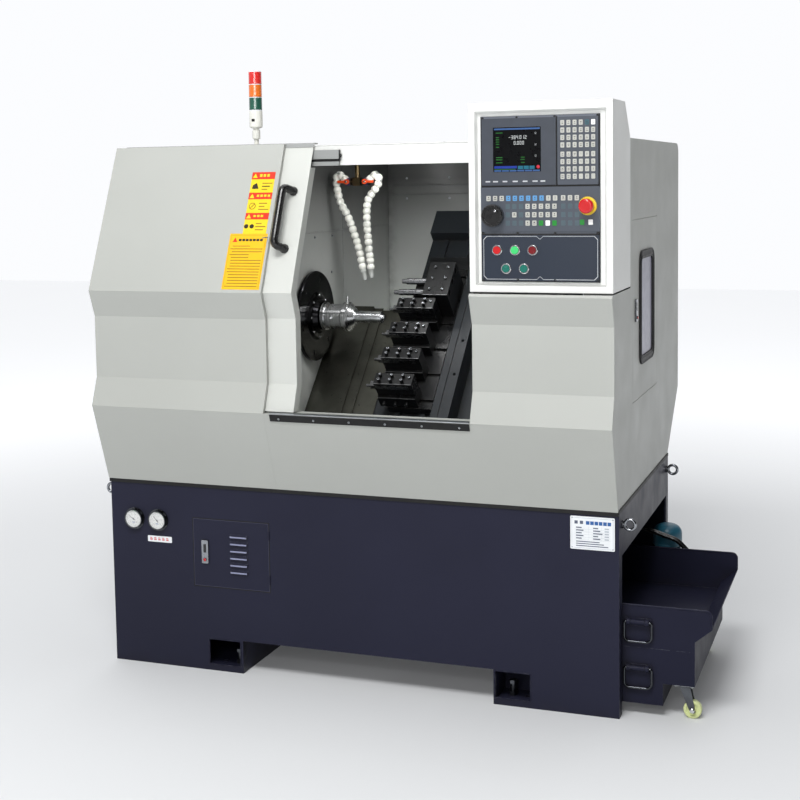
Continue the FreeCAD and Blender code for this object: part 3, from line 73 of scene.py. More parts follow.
class Shader:
    """A material in the making: a principled shader and the nodes that feed it."""

    def __init__(self, name, **values):
        self.material = bpy.data.materials.new(name)
        self.material.use_nodes = True
        self.tree = self.material.node_tree
        self.tree.nodes.clear()
        out = self.tree.nodes.new("ShaderNodeOutputMaterial")
        self.bsdf = self.tree.nodes.new("ShaderNodeBsdfPrincipled")
        self.tree.links.new(self.bsdf.outputs[0], out.inputs[0])
        self.coords = self.node("ShaderNodeTexCoord").outputs["Object"]
        for key, value in values.items():
            self.set(key.replace("_", " "), value)

    def node(self, kind, inputs=None, **props):
        made = self.tree.nodes.new(kind)
        for key, value in props.items():
            setattr(made, key, value)
        for key, value in (inputs or {}).items():
            self.put(made.inputs[key], value)
        return made

    def put(self, socket, value):
        if isinstance(value, bpy.types.NodeSocket):
            self.tree.links.new(value, socket)
        else:
            socket.default_value = value

    def set(self, name, value):
        self.put(self.bsdf.inputs[name], value)

    def noise(self, scale, detail=3.0, stretch=None):
        where = self.coords
        if stretch:
            where = self.node("ShaderNodeVectorMath", {0: where, 1: stretch}, operation="MULTIPLY").outputs[0]
        return self.node("ShaderNodeTexNoise", {"Vector": where, "Scale": scale, "Detail": detail,
                                                "Roughness": 0.55}).outputs["Fac"]

    def remap(self, value, a, b, c, d):
        return self.node("ShaderNodeMapRange", {"Value": value, "From Min": a, "From Max": b,
                                                "To Min": c, "To Max": d}).outputs["Result"]

    def mix(self, amount, a, b):
        return self.node("ShaderNodeMix", {0: amount, 6: a, 7: b}, data_type="RGBA").outputs[2]

    def patches(self, color, low, high, scale, detail):
        """The colour drifting in soft patches between low and high times itself."""
        amount = self.remap(self.noise(scale, detail), 0.35, 0.65, 0, 1)
        return self.mix(amount, scaled(color, low), scaled(color, high))

    def calc(self, operation, a, b=0.5):
        return self.node("ShaderNodeMath", {0: a, 1: b}, operation=operation).outputs[0]

    def edges(self, radius):
        """1 on convex and concave edges, 0 on flats."""
        bevel = self.node("ShaderNodeBevel", {"Radius": radius}, samples=4).outputs[0]
        normal = self.node("ShaderNodeNewGeometry").outputs["Normal"]
        dot = self.node("ShaderNodeVectorMath", {0: bevel, 1: normal}, operation="DOT_PRODUCT")
        return self.remap(dot.outputs["Value"], 1.0, 0.8, 0.0, 1.0)

    def corners(self, reach):
        """1 where another surface is close, such as inside a corner."""
        ao = self.node("ShaderNodeAmbientOcclusion", {"Distance": reach}, samples=6)
        return self.remap(ao.outputs["AO"], 0.35, 0.95, 1.0, 0.0)

    def bump(self, height, strength, depth, under=None):
        inputs = {"Height": height, "Strength": strength, "Distance": depth}
        if under:
            inputs["Normal"] = under
        return self.node("ShaderNodeBump", inputs).outputs[0]


def paint(name, color, rough=0.38, tone=0.04, peel=0.12, wear=None, wear_amount=0.5, grime_and_shade=None,
          grime_and_shade_amount=0.5, waves=0.0, painted_shadow=None, gloss=0.5, dust=0.0):
    """Sprayed enamel: broad tone drift, orange peel, worn edges, and grime with painted shade in its corners.

    A painted shadow, given as (low, high, amount), darkens it from one height in metres to the other.
    dust is how much grey settles on faces that look up."""
    color, wear, grime_and_shade = (c and linear(*c) for c in (color, wear, grime_and_shade))
    s = Shader(name, Specular_IOR_Level=gloss)
    base = s.patches(color, 1 - tone, 1 + tone, 1.9, 4)
    if grime_and_shade:
        # Grime with painted shade: darker where another surface is close, as in corners, in noisy patches.
        grime_and_shade_mask = s.calc("MULTIPLY", s.corners(0.045), s.remap(s.noise(22, 5), 0.35, 0.7, 0.2, 1))
        base = s.mix(s.calc("MULTIPLY", grime_and_shade_mask, grime_and_shade_amount), base, grime_and_shade)
    if wear:
        rub = s.calc("MULTIPLY", s.edges(0.0016), s.remap(s.noise(70, 4), 0.45, 0.62, 0, 1))
        base = s.mix(s.calc("MULTIPLY", rub, wear_amount), base, wear)
    if painted_shadow:
        # Painted shadow: darker towards black between the two heights.
        height = s.node("ShaderNodeSeparateXYZ", {0: s.coords}).outputs["Z"]
        base = s.mix(s.remap(height, painted_shadow[0], painted_shadow[1], 0, painted_shadow[2]), base, (0.02, 0.02, 0.02, 1.0))
    if dust:
        facing = s.node("ShaderNodeNewGeometry").outputs["Normal"]
        up = s.node("ShaderNodeSeparateXYZ", {0: facing}).outputs["Z"]
        base = s.mix(s.remap(up, 0.7, 0.97, 0, dust), base, linear(112, 112, 109))
    s.set("Base Color", base)
    s.set("Roughness", s.remap(s.noise(9, 5), 0.3, 0.7, rough - 0.06, rough + 0.08))
    low = s.bump(s.noise(3.1, 1), waves, 0.004) if waves else None
    s.set("Normal", s.bump(s.noise(420, 1), peel, 0.0003, low))
    return s.material


def metal(name, color, rough=0.3, stretch=(1, 1, 1), grain=260.0, tone=0.12, oil_and_shade=None, strength=0.25,
          coat=0.0):
    """Bare metal with its tool marks drawn out along one axis, and oil with painted shade in its corners."""
    color, oil_and_shade = (c and linear(*c) for c in (color, oil_and_shade))
    s = Shader(name, Metallic=1.0, Coat_Weight=coat, Coat_Roughness=0.06)
    base = s.patches(color, 1 - tone, 1 + tone, 14, 4)
    if oil_and_shade:
        # Oil with painted shade: darker where another surface is close.
        base = s.mix(s.calc("MULTIPLY", s.corners(0.02), 0.8), base, oil_and_shade)
    lines = s.noise(grain, 3, stretch)
    s.set("Base Color", base)
    s.set("Roughness", s.remap(lines, 0.3, 0.7, rough - 0.07, rough + 0.12))
    s.set("Normal", s.bump(lines, strength, 0.00015))
    return s.material


def ringed(name, color, rough=0.2, grooves=900.0, strength=0.2, coat=0.0, turn=0.5):
    """Metal turned about the spindle: fine concentric marks that draw the highlights out."""
    color = linear(*color)
    s = Shader(name, Metallic=1.0, Coat_Weight=coat, Coat_Roughness=0.05, Anisotropic=turn,
               Anisotropic_Rotation=0.25)
    apart = s.node("ShaderNodeSeparateXYZ", {0: s.coords})
    y = s.calc("SUBTRACT", apart.outputs["Y"], (SPINDLE_Y - ORIGIN.y) / 1000)
    z = s.calc("SUBTRACT", apart.outputs["Z"], SPINDLE_Z / 1000)
    radius = s.calc("SQRT", s.calc("ADD", s.calc("MULTIPLY", y, y), s.calc("MULTIPLY", z, z)))
    where = s.node("ShaderNodeCombineXYZ", {0: apart.outputs["X"], 1: radius, 2: 0.0}).outputs[0]
    marks = s.node("ShaderNodeTexNoise", {"Vector": where, "Scale": grooves, "Detail": 3.0}).outputs["Fac"]
    s.set("Base Color", s.patches(color, 0.88, 1.08, 12, 4))
    s.set("Roughness", s.remap(marks, 0.3, 0.7, rough - 0.05, rough + 0.1))
    s.set("Normal", s.bump(marks, strength, 0.00012))
    s.set("Tangent", s.node("ShaderNodeTangent", direction_type="RADIAL", axis="X").outputs[0])
    return s.material


def moulded(name, color, rough=0.4, tone=0.05, grain=900.0, strength=0.1, ior=1.46, shine=0.0):
    """Moulded plastic or rubber with a fine spark-eroded grain."""
    color = linear(*color)
    s = Shader(name, IOR=ior, Coat_Weight=shine, Coat_Roughness=0.05)
    s.set("Base Color", s.patches(color, 1 - tone, 1 + tone, 30, 3))
    s.set("Roughness", s.remap(s.noise(55, 4), 0.3, 0.7, rough - 0.06, rough + 0.08))
    s.set("Normal", s.bump(s.noise(grain, 2), strength, 0.0002))
    return s.material


def lit(name, color, power):
    """A lamp or a lit part of a screen, a little uneven."""
    color = linear(*color)
    s = Shader(name, Roughness=0.25, Emission_Strength=power)
    glow = s.mix(s.remap(s.noise(60, 2), 0.3, 0.7, 0, 1), scaled(color, 0.85), color)
    s.set("Base Color", scaled(color, 0.5))
    s.set("Emission Color", glow)
    return s.material


def clear(name, color):
    """Polished window glass."""
    color = linear(*color)
    s = Shader(name, Transmission_Weight=1.0, IOR=1.45)
    s.set("Base Color", s.mix(s.noise(6, 2), scaled(color, 0.96), color))
    s.set("Roughness", s.remap(s.noise(40, 4), 0.4, 0.8, 0.03, 0.08))
    s.set("Normal", s.bump(s.noise(120, 2), 0.03, 0.0002))
    return s.material


# The colour of the grime and painted shade in corners and hollows.
GRIME_AND_SHADE = (34, 31, 26)
WHITE = paint("white_enamel", (176, 178, 173), 0.42, 0.02, 0.10, (150, 150, 146), 0.5,
              (120, 118, 108), 0.35, waves=0.05)
FRAME_WHITE = paint("frame_enamel", (232, 233, 230), 0.36, 0.015, 0.08, (160, 160, 156), 0.4,
                    (130, 128, 120), 0.3, dust=0.75)
RAIL_GREY = paint("rail_enamel", (150, 152, 151), 0.4, 0.02, 0.08, (170, 170, 166), 0.5,
                  (90, 88, 80), 0.3)
DOOR_WHITE = paint("door_enamel", (202, 204, 199), 0.38, 0.015, 0.08, (150, 150, 146), 0.5,
                   (120, 118, 108), 0.3)
NAVY = paint("navy_enamel", (35, 36, 53), 0.4, 0.08, 0.3, (120, 122, 130), 0.55, GRIME_AND_SHADE, 0.5,
             waves=0.06, gloss=0.16)
CART_NAVY = paint("cart_enamel", (32, 33, 49), 0.44, 0.1, 0.35, (110, 112, 118), 0.7, GRIME_AND_SHADE, 0.6,
                  waves=0.08, gloss=0.1)
# The liner's painted shadow darkens it more and more towards the chamber's top, and its corners get heavy
# grime with painted shade.
LINER = paint("liner_enamel", (238, 241, 237), 0.45, 0.05, 0.12, (110, 110, 108), 0.5, GRIME_AND_SHADE, 0.75,
              waves=0.05, painted_shadow=(0.95, 1.5, 0.93))
# Painted highlight: the louvres' light lips.
LOUVRE_HIGHLIGHT = paint("louvre_highlight_paint", (134, 138, 168), 0.34, 0.1, 0.2, (190, 192, 200), 0.8)
# Painted highlight: the lighter line round the access door's edges.
ACCESS_EDGE_HIGHLIGHT = paint("edge_highlight_paint", (62, 63, 84), 0.34, 0.1, 0.2)
TEAL = paint("pump_enamel", (34, 96, 118), 0.38, 0.08, 0.4, (150, 150, 145), 0.6, GRIME_AND_SHADE, 0.6)
SLATE = paint("saddle_enamel", (29, 33, 37), 0.42, 0.08, 0.3, (110, 110, 108), 0.5, GRIME_AND_SHADE, 0.6,
              gloss=0.3)
OXIDE = paint("black_oxide", (9, 10, 12), 0.3, 0.15, 0.2, (120, 120, 118), 0.6, GRIME_AND_SHADE, 0.3,
              gloss=0.4)
PANEL = paint("panel_slate", (68, 74, 84), 0.42, 0.03, 0.25)
PANEL_LIGHT = paint("panel_edge", (96, 101, 110), 0.4, 0.03, 0.2)
PANEL_DARK = paint("panel_navy", (25, 36, 52), 0.38, 0.04, 0.25)
SEAM = moulded("seam_rubber", (10, 10, 11), 0.55)
RUBBER = moulded("black_rubber", (20, 20, 21), 0.5, strength=0.2)
HOSE = moulded("hose_rubber", (16, 16, 17), 0.22, grain=500, shine=0.4)
BLACK_PLASTIC = moulded("black_plastic", (17, 17, 18), 0.28, grain=700, shine=0.3)
LCD_PLASTIC = moulded("screen_bezel", (58, 63, 72), 0.42, grain=1200, strength=0.2)
KEY_GREY = moulded("key_grey", (182, 182, 175), 0.45)
KEY_WHITE = moulded("key_white", (246, 246, 244), 0.4)
KEY_BLUE = moulded("key_blue", (88, 146, 196), 0.42)
KEY_GREEN = moulded("key_green", (24, 132, 44), 0.4)
KEY_TEAL = moulded("key_teal", (52, 88, 98), 0.45)
KEY_BLANK = moulded("key_blank", (72, 88, 96), 0.45)
MARK_DARK = moulded("mark_dark", (60, 60, 60), 0.5)
MARK_LIGHT = moulded("mark_light", (190, 193, 196), 0.5)
RED = moulded("button_red", (196, 22, 26), 0.22, shine=0.6)
DARK_RED = moulded("button_dark_red", (116, 14, 20), 0.22, shine=0.6)
BUTTON_TEAL = moulded("button_teal", (14, 106, 92), 0.22, shine=0.6)
LIT_GREEN = lit("button_lit_green", (70, 214, 120), 0.55)
YELLOW = moulded("collar_yellow", (244, 206, 20), 0.35, shine=0.3)
ORANGE = moulded("lever_orange", (216, 70, 24), 0.35, shine=0.2)
BLUE_VALVE = moulded("valve_blue", (22, 38, 76), 0.35, shine=0.3)
WHEEL = moulded("wheel_urethane", (214, 222, 160), 0.38)
STICKER_YELLOW = moulded("sticker_yellow", (236, 206, 34), 0.35, 0.02, shine=0.3)
STICKER_ORANGE = moulded("sticker_orange", (238, 186, 22), 0.35, 0.02, shine=0.3)
STICKER_RED = moulded("sticker_red", (214, 50, 26), 0.35, 0.02, shine=0.3)
STICKER_INK = moulded("sticker_ink", (44, 36, 20), 0.4, 0.02)
STICKER_BROWN = moulded("sticker_brown", (150, 112, 22), 0.4, 0.02)
LABEL_WHITE = moulded("label_white", (232, 235, 238), 0.35, 0.02)
LABEL_BLUE = moulded("label_blue", (40, 92, 156), 0.35, 0.03)
LABEL_INK = moulded("label_ink", (84, 92, 112), 0.4, 0.03)
LABEL_GREY = moulded("label_grey", (168, 176, 186), 0.4, 0.03)
LABEL_PINK = moulded("label_pink", (214, 120, 122), 0.4, 0.03)
DIAL_WHITE = moulded("dial_white", (240, 240, 236), 0.5, 0.02)
HOSE_WHITE = moulded("segment_white", (232, 232, 224), 0.3, 0.04, shine=0.2)
HOSE_GREY = moulded("segment_grey", (176, 178, 174), 0.28, 0.05, shine=0.2)
TOWER_WHITE = moulded("tower_white", (226, 226, 218), 0.4)
POLISHED = ringed("polished_black", (36, 36, 38), 0.18, 700, 0.15, 0.1, 0.8)
TURNED = ringed("turned_steel", (224, 226, 228), 0.2, 1100, 0.06, 0.0, 0.7)
COLLET = ringed("collet_steel", (206, 207, 208), 0.22, 1100, 0.03, 0.0, 0.85)
SMOKED = metal("smoked_chrome", (72, 74, 78), 0.16, grain=90, tone=0.06, strength=0.05)
ZINC = metal("bright_zinc", (150, 153, 158), 0.2, grain=120, tone=0.15, oil_and_shade=GRIME_AND_SHADE)
GUNMETAL = metal("pressed_fork", (104, 107, 112), 0.34, grain=140, tone=0.2, oil_and_shade=GRIME_AND_SHADE)
CHROME = metal("chrome_plate", (222, 223, 225), 0.1, grain=90, tone=0.03, strength=0.03)
GALVANISED = metal("zinc_plate", (176, 180, 184), 0.36, grain=120, tone=0.15, oil_and_shade=GRIME_AND_SHADE)
GROUND = metal("ground_steel", (134, 135, 137), 0.26, (0.3, 1, 1), 240, 0.1, GRIME_AND_SHADE)
STEEL = metal("machined_steel", (128, 129, 130), 0.32, (0.4, 1, 1), 200, 0.12, GRIME_AND_SHADE)
WAY_STEEL = metal("way_plate", (88, 88, 81), 0.34, (1, 1, 0.05), 240, 0.12, GRIME_AND_SHADE, strength=0.2, coat=0.3)
CAST = paint("cast_iron", (62, 64, 66), 0.55, 0.12, 0.8, (120, 120, 118), 0.5, GRIME_AND_SHADE, 0.6)
BRASS = metal("dull_brass", (88, 76, 54), 0.42, grain=150, tone=0.15, oil_and_shade=GRIME_AND_SHADE)
PANE = clear("door_pane", (226, 236, 234))
DIAL_GLASS = moulded("dial_glass", (250, 252, 255), 0.05, 0.01, 40, 0.02, shine=1.0)
DIAL_GLASS.node_tree.nodes["Principled BSDF"].inputs["Alpha"].default_value = 0.1
GREY_PANE = moulded("side_pane", (150, 150, 168), 0.34, 0.015, 60, 0.01, shine=0.15)
SCREEN = moulded("screen_black", (7, 8, 10), 0.3, 0.1, 60, 0.0, ior=1.2)
SCREEN_WHITE = lit("screen_white", (210, 214, 214), 0.55)
SCREEN_GREEN = lit("screen_green", (34, 108, 40), 0.5)
SCREEN_BLUE = lit("screen_blue", (22, 52, 150), 0.5)
SCREEN_BAR = lit("screen_bar", (60, 96, 150), 0.45)
SCREEN_TEAL = lit("screen_teal", (24, 104, 128), 0.5)
SCREEN_RED = lit("screen_red", (190, 40, 60), 0.5)


# ---------------------------------------------------------------- drawing in millimetres
def place(origin, u, v):
    """Local axes: u to the right, v up, w out of the surface."""
    u, v = Vector(u).normalized(), Vector(v).normalized()
    w = u.cross(v)
    made = Matrix((u, v, w)).transposed().to_4x4()
    made.translation = Vector(origin)
    return made


def front(x, z, y=0.0):
    return place((x, y, z), (1, 0, 0), (0, 0, 1))


def right(y, z, x):
    return place((x, y, z), (0, 1, 0), (0, 0, 1))


def back(x, z, y=1051.0):
    return place((x, y, z), (-1, 0, 0), (0, 0, 1))


def top(x, y, z=1603.0):
    return place((x, y, z), (1, 0, 0), (0, 1, 0))


def leaning(x, z, lift=0.0):
    """On the covers' leaning front at height z, lifted square off it."""
    y = BROW_Y + (z - BROW_Z) * LEAN_RUN / LEAN_RISE
    made = place((x, y, z), (1, 0, 0), (0, LEAN_RUN, LEAN_RISE))
    return moved(made, 0, 0, lift)


def slant(x, s, lift=0.0):
    """On the way covers' 45 degree plane."""
    return place((x, (s - lift) * SLOPE, SLANT_Z + (s + lift) * SLOPE), (1, 0, 0), (0, 1, 1))


def along_x(x, y, z):
    """w runs along +X."""
    return place((x, y, z), (0, 1, 0), (0, 0, 1))


def moved(where, u=0.0, v=0.0, w=0.0):
    """Shifted along its own axes."""
    return where @ Matrix.Translation((u, v, w))


def circle(count, radius, start=0.0):
    """Points evenly round a circle in the local u, v plane, anticlockwise from start degrees."""
    turns = [math.radians(start) + 2 * math.pi * k / count for k in range(count)]
    return [(radius * math.cos(turn), radius * math.sin(turn)) for turn in turns]


def added(name, data):
    """A new object in the scene."""
    made = bpy.data.objects.new(name, data)
    bpy.context.scene.collection.objects.link(made)
    return made


class Piece:
    """Collects faces in drawing millimetres and turns them into one object."""

    def __init__(self, name, body, slot, *materials):
        self.name, self.body, self.slot, self.materials = name, body, slot, materials
        self.verts, self.faces, self.index = [], [], []

    def add(self, where, verts, faces, m=0):
        start = len(self.verts)
        self.verts += [where @ Vector(v) for v in verts]
        self.faces += [[start + i for i in f] for f in faces]
        self.index += [m] * len(faces)

    def block(self, where, u0, u1, v0, v1, w0, w1, m=0):
        """A box between two values of each local axis; m is the place in the piece's materials."""
        corners = [(u, v, w) for u in (u0, u1) for v in (v0, v1) for w in (w0, w1)]
        faces = [(0, 1, 3, 2), (4, 6, 7, 5), (0, 4, 5, 1), (2, 3, 7, 6), (0, 2, 6, 4), (1, 5, 7, 3)]
        self.add(where, corners, faces, m)

    def sheet(self, where, outline, w0, w1, m=0):
        """A flat plate with the outline (u, v), anticlockwise, from w0 to w1."""
        n = len(outline)
        verts = [(u, v, w) for w in (w0, w1) for u, v in outline]
        faces = [list(range(n))[::-1], list(range(n, 2 * n))]
        faces += [(i, (i + 1) % n, n + (i + 1) % n, n + i) for i in range(n)]
        self.add(where, verts, faces, m)

    def plate(self, where, width, height, w0, w1, corner, m=0, steps=5):
        """A rounded rectangle centred on the origin."""
        self.sheet(where, rounded(width, height, corner, steps), w0, w1, m)

    def ring(self, where, outer, inner, w0, w1, m=0):
        """A band between two outlines with the same number of points."""
        n = len(outer)
        verts = [(u, v, w) for w in (w0, w1) for line in (outer, inner) for u, v in line]
        faces = []
        for i in range(n):
            j = (i + 1) % n
            faces += [(i, n + i, n + j, j), (2 * n + i, 2 * n + j, 3 * n + j, 3 * n + i),
                      (i, j, 2 * n + j, 2 * n + i), (n + i, 3 * n + i, 3 * n + j, n + j)]
        self.add(where, verts, faces, m)

    def turned(self, where, profile, m=0, steps=32):
        """A solid of revolution about w; the profile is (radius, w) from end to end."""
        verts, rows, faces = [], [], []
        for radius, w in profile:
            if radius < 1e-6:
                rows.append([len(verts)])
                verts.append((0, 0, w))
            else:
                rows.append(list(range(len(verts), len(verts) + steps)))
                verts += [(u, v, w) for u, v in circle(steps, radius)]
        for a, b in zip(rows, rows[1:]):
            for k in range(steps):
                j = (k + 1) % steps
                quad = [a[k % len(a)], a[j % len(a)], b[j % len(b)], b[k % len(b)]]
                faces.append(list(dict.fromkeys(quad)))
        for row, flip in ((rows[0], True), (rows[-1], False)):
            if len(row) > 1:
                faces.append(row[::-1] if flip else row)
        self.add(where, verts, [f for f in faces if len(f) > 2], m)

    def pipe(self, where, path, radius, m=0, steps=12, ends=True):
        """A round bar along a path of close points."""
        path = [Vector(p) for p in path]
        side, verts, faces = None, [], []
        for i, point in enumerate(path):
            ahead = path[min(i + 1, len(path) - 1)] - path[max(i - 1, 0)]
            ahead.normalize()
            if side is None:
                side = ahead.orthogonal().normalized()
            side = (side - ahead * side.dot(ahead)).normalized()
            other = ahead.cross(side)
            verts += [point + side * u + other * v for u, v in circle(steps, radius)]
        for i in range(len(path) - 1):
            for k in range(steps):
                j = (k + 1) % steps
                faces.append((i * steps + k, i * steps + j, (i + 1) * steps + j, (i + 1) * steps + k))
        if ends:
            faces.append(list(range(steps))[::-1])
            faces.append(list(range((len(path) - 1) * steps, len(path) * steps)))
        self.add(where, verts, faces, m)

    def screw(self, where, radius, height, m=0):
        """A socket cap screw's head."""
        floor = height * 0.35
        self.turned(where, [(radius, 0), (radius, height * 0.8), (radius * 0.84, height),
                            (radius * 0.55, height), (radius * 0.5, floor), (0, floor)], m, 18)

    def done(self, bevel=0.0, replaces=()):
        """Makes the object, with edges rounded by bevel millimetres."""
        mesh = bpy.data.meshes.new(self.name)
        mesh.from_pydata([(v - ORIGIN) / 1000 for v in self.verts], [], self.faces)
        mesh.validate()
        made = added(self.name, mesh)
        for material in self.materials:
            mesh.materials.append(material)
        for face, index in zip(mesh.polygons, self.index):
            face.material_index = index
        soften(made, bevel)
        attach(made, self.body)
        if replaces:
            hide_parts(*replaces)


def rounded(width, height, corner, steps=5):
    """A rounded rectangle's outline about the origin, anticlockwise."""
    points = []
    for k, (sx, sy) in enumerate(((1, 1), (-1, 1), (-1, -1), (1, -1))):
        for i in range(steps + 1):
            turn = math.pi / 2 * (k + i / steps)
            points.append((sx * (width / 2 - corner) + corner * math.cos(turn),
                           sy * (height / 2 - corner) + corner * math.sin(turn)))
    return points


def soften(made, bevel, angle=35.0, weld=False):
    """Smooth shading with crisp flats, and small rounded edges in millimetres."""
    for face in made.data.polygons:
        face.use_smooth = True
    if weld:
        made.modifiers.new("weld", "WELD").merge_threshold = 1e-5
    if bevel:
        edge = made.modifiers.new("edge", "BEVEL")
        edge.width = bevel / 1000
        edge.segments = 2
        edge.limit_method = "ANGLE"
        edge.angle_limit = math.radians(angle)
        edge.use_clamp_overlap = True
        edge.miter_outer = "MITER_ARC"
        normal = made.modifiers.new("normal", "WEIGHTED_NORMAL")
        normal.keep_sharp = False
    else:
        made.data.set_sharp_from_angle(angle=math.radians(angle))


def dress(material, bevel, *names, angle=35.0):
    """One material and rounded edges for CAD nodes that stay."""
    for name in names:
        node = NODES[name]
        while len(node.data.materials) > 1:
            node.data.materials.pop()
        if len(node.data.materials):
            node.data.materials[0] = material
        else:
            node.data.materials.append(material)
        soften(node, bevel, angle, weld=True)


def arc(centre, radius, start, end, count):
    """Points of an arc in the local u, v plane, in degrees."""
    turns = [math.radians(start + (end - start) * i / count) for i in range(count + 1)]
    return [(centre[0] + radius * math.cos(t), centre[1] + radius * math.sin(t)) for t in turns]


# ---------------------------------------------------------------- CAD nodes that stay
dress(NAVY, 1.2, "base_frame", "access_door")
dress(WHITE, 0.9, "left_cover", "right_cover", "back_cover", "side_door", angle=12)
dress(FRAME_WHITE, 0.9, "roof_panel", angle=12)
dress(RAIL_GREY, 0.6, "door_rail", angle=12)
dress(DOOR_WHITE, 0.8, "door_panel", angle=12)
dress(FRAME_WHITE, 1.2, "control_cabinet", angle=12)
dress(LINER, 0.8, "chamber_liner", angle=12)
dress(CAST, 2.0, "headstock", "slant_bed")
dress(SLATE, 1.2, "z_saddle")
dress(WAY_STEEL, 0.4, "fixed_way_cover", "way_cover_1", "way_cover_2")
dress(OXIDE, 1.0, "tool_table", "tool_blocks")
dress(GROUND, 0.5, "tool_bits", "spindle_bearings")
dress(STEEL, 0.8, "spindle_shaft")
dress(POLISHED, 1.2, "chuck_flange")
dress(COLLET, 0.8, "collet_nose")
dress(ZINC, 0.8, "access_latch", "side_latch")
dress(SMOKED, 0.8, "gauge_cases")
dress(TURNED, 0.8, "turned_sample")
dress(BLACK_PLASTIC, 1.0, "handwheel")
dress(ZINC, 0.4, "eye_bolts")
dress(SMOKED, 0.4, "tray_handle", "tank_handle")
dress(GUNMETAL, 0.6, "levelling_bolts", "caster_fork_front", "caster_fork_rear")
dress(PANE, 0.3, "door_window")
dress(BRASS, 0.6, "coolant_manifold")
dress(ORANGE, 0.5, "valve_lever_1", "valve_lever_2")
dress(PANEL, 0.6, "control_panel")
dress(LCD_PLASTIC, 0.6, "lcd_unit")
dress(PANEL, 0.4, "keypad")
dress(CART_NAVY, 1.0, "cart_tank", "chip_tray")
dress(TEAL, 1.0, "coolant_pump")
dress(HOSE, 0.4, "pump_hose")
dress(WHEEL, 0.8, "outer_wheel_front", "outer_wheel_rear", "inner_wheel_front", "inner_wheel_rear")
dress(RED, 1.0, "estop_button", "stop_button")
dress(DARK_RED, 1.0, "power_off_button")
dress(LIT_GREEN, 1.0, "start_button")
dress(BUTTON_TEAL, 1.0, "pump_button", "light_button")
dress(RUBBER, 0.6, "side_window")


# ---------------------------------------------------------------- base
WORLD = Matrix.Identity(4)


def skirt(x, z, lift=0.0):
    """On the sloping skirt below the belt."""
    y = -4.0 - (z - 582.0) * 82.0 / 242.0
    return moved(place((x, y, z), (1, 0, 0), (0, -82, 242)), 0, 0, lift)


def spun(where, degrees):
    """Turned about its own w axis."""
    return where @ Matrix.Rotation(math.radians(degrees), 4, "Z")


SEGMENTS = {"0": "abcdef", "1": "bc", "2": "abged", "3": "abgcd", "4": "fgbc", "5": "afgcd", "6": "afgedc",
            "7": "abc", "8": "abcdefg", "9": "abcdfg", "-": "g"}


def number(piece, where, text, height, m, w=0.0, thick=0.12):
    """Plain seven-segment figures, left to right from the local origin."""
    t, width, gap = height * 0.11, height * 0.5, height * 0.242
    u = 0.0
    for char in text:
        if char == ".":
            piece.block(where, u, u + t, 0, t, w, w + thick, m)
            u += t * 2                      # the point takes up less
            continue
        middle, far = height / 2, width - t
        bars = {"a": (0, width, height - t, height), "g": (0, width, (height - t) / 2, (height + t) / 2),
                "d": (0, width, 0, t), "f": (0, t, middle, height), "b": (far, width, middle, height),
                "e": (0, t, 0, middle), "c": (far, width, 0, middle)}
        for key in SEGMENTS[char]:
            u0, u1, v0, v1 = bars[key]
            piece.block(where, u + u0, u + u1, v0, v1, w, w + thick, m)
        u += width + gap


seam = Piece("base_seam", "frame", "gasket_rubber", SEAM)
seam.block(WORLD, -3.4, 1599.4, -3.5, 2, 571, 582)
seam.block(WORLD, -3.4, 2, 0, 832, 573, 582)
seam.block(WORLD, 0, 1599.4, 828, 832, 573, 582)
seam.block(WORLD, 1598.1, 1600.8, -3.5, 832, 576, 586)
seam.done(0.6)

sill = Piece("sill_strip", "frame", "black_plastic", SEAM, GALVANISED)
sill.block(skirt(593, 822), 0, 608, -21, 0, 0.1, 2.4)
sill.block(WORLD, 593, 1201, -88.6, -60, 823.9, 826.2, 1)
for k in range(6):
    sill.screw(skirt(622 + k * 110, 811, 2.4), 3.2, 2.2, 1)
sill.done(0.5)

BLOCK_INK, THICK_INK, THIN_INK = (1.3, 1.5), (1.3, 1.45), (1.3, 1.42)
plate = Piece("name_plate", "frame", "white_paint", LABEL_WHITE, LABEL_BLUE, LABEL_GREY, LABEL_INK,
              GALVANISED)
spot = front(1526, 518.5)
plate.plate(spot, 124, 93, 0, 1.1, 3)
plate.plate(spot, 116, 85, 1.1, 1.25, 2, 2)
plate.plate(spot, 114.6, 83.6, 1.2, 1.35, 1.6)
for k in range(6):
    plate.block(spot, -18 + k * 12, -8 + k * 12, 24, 34, *BLOCK_INK, 1)
for k in range(2):
    plate.block(spot, -50 + k * 15, -41 + k * 15, 25, 34, *BLOCK_INK, 3)
for k in range(5):
    v = 15 - k * 7.5
    plate.block(spot, -50, 50, v - 4.1, v - 3.7, *THIN_INK, 2)
    plate.block(spot, -46, -30 + 5 * (k % 2), v - 1.6, v + 1.6, *THICK_INK, 3)
    plate.block(spot, 2, 16 + 6 * (k % 3), v - 1.6, v + 1.6, *THICK_INK, 3)
    plate.block(spot, 34, 46, v - 1.6, v + 1.6, *THICK_INK, 2)
for u in (-10, 26):
    plate.block(spot, u - 0.2, u + 0.2, -19, 19, *THIN_INK, 2)
for k in range(3):
    plate.block(spot, -46, 44 - 12 * k, -36 + k * 6 - 1.3, -36 + k * 6 + 1.3, *THICK_INK, 3)
for u in (-57, 57):
    for v in (-41.5, 41.5):
        plate.turned(moved(spot, u, v, 1.1), [(2, 0), (1.8, 0.6), (1, 1), (0, 1.1)], 4, 14)
plate.done(0.2)

label = Piece("gauge_label", "frame", "white_paint", LABEL_WHITE, LABEL_PINK)
spot = front(168, 398.5)
label.plate(spot, 84, 19, 0, 0.8, 2)
for k in range(5):
    label.block(spot, -34 + k * 14, -25 + k * 14, -4, 0.6, 0.75, 0.95, 1)
    label.block(spot, -34 + k * 14, -27 + k * 14 + k % 2, 2, 4.6, 0.75, 0.95, 1)
label.done(0.2)

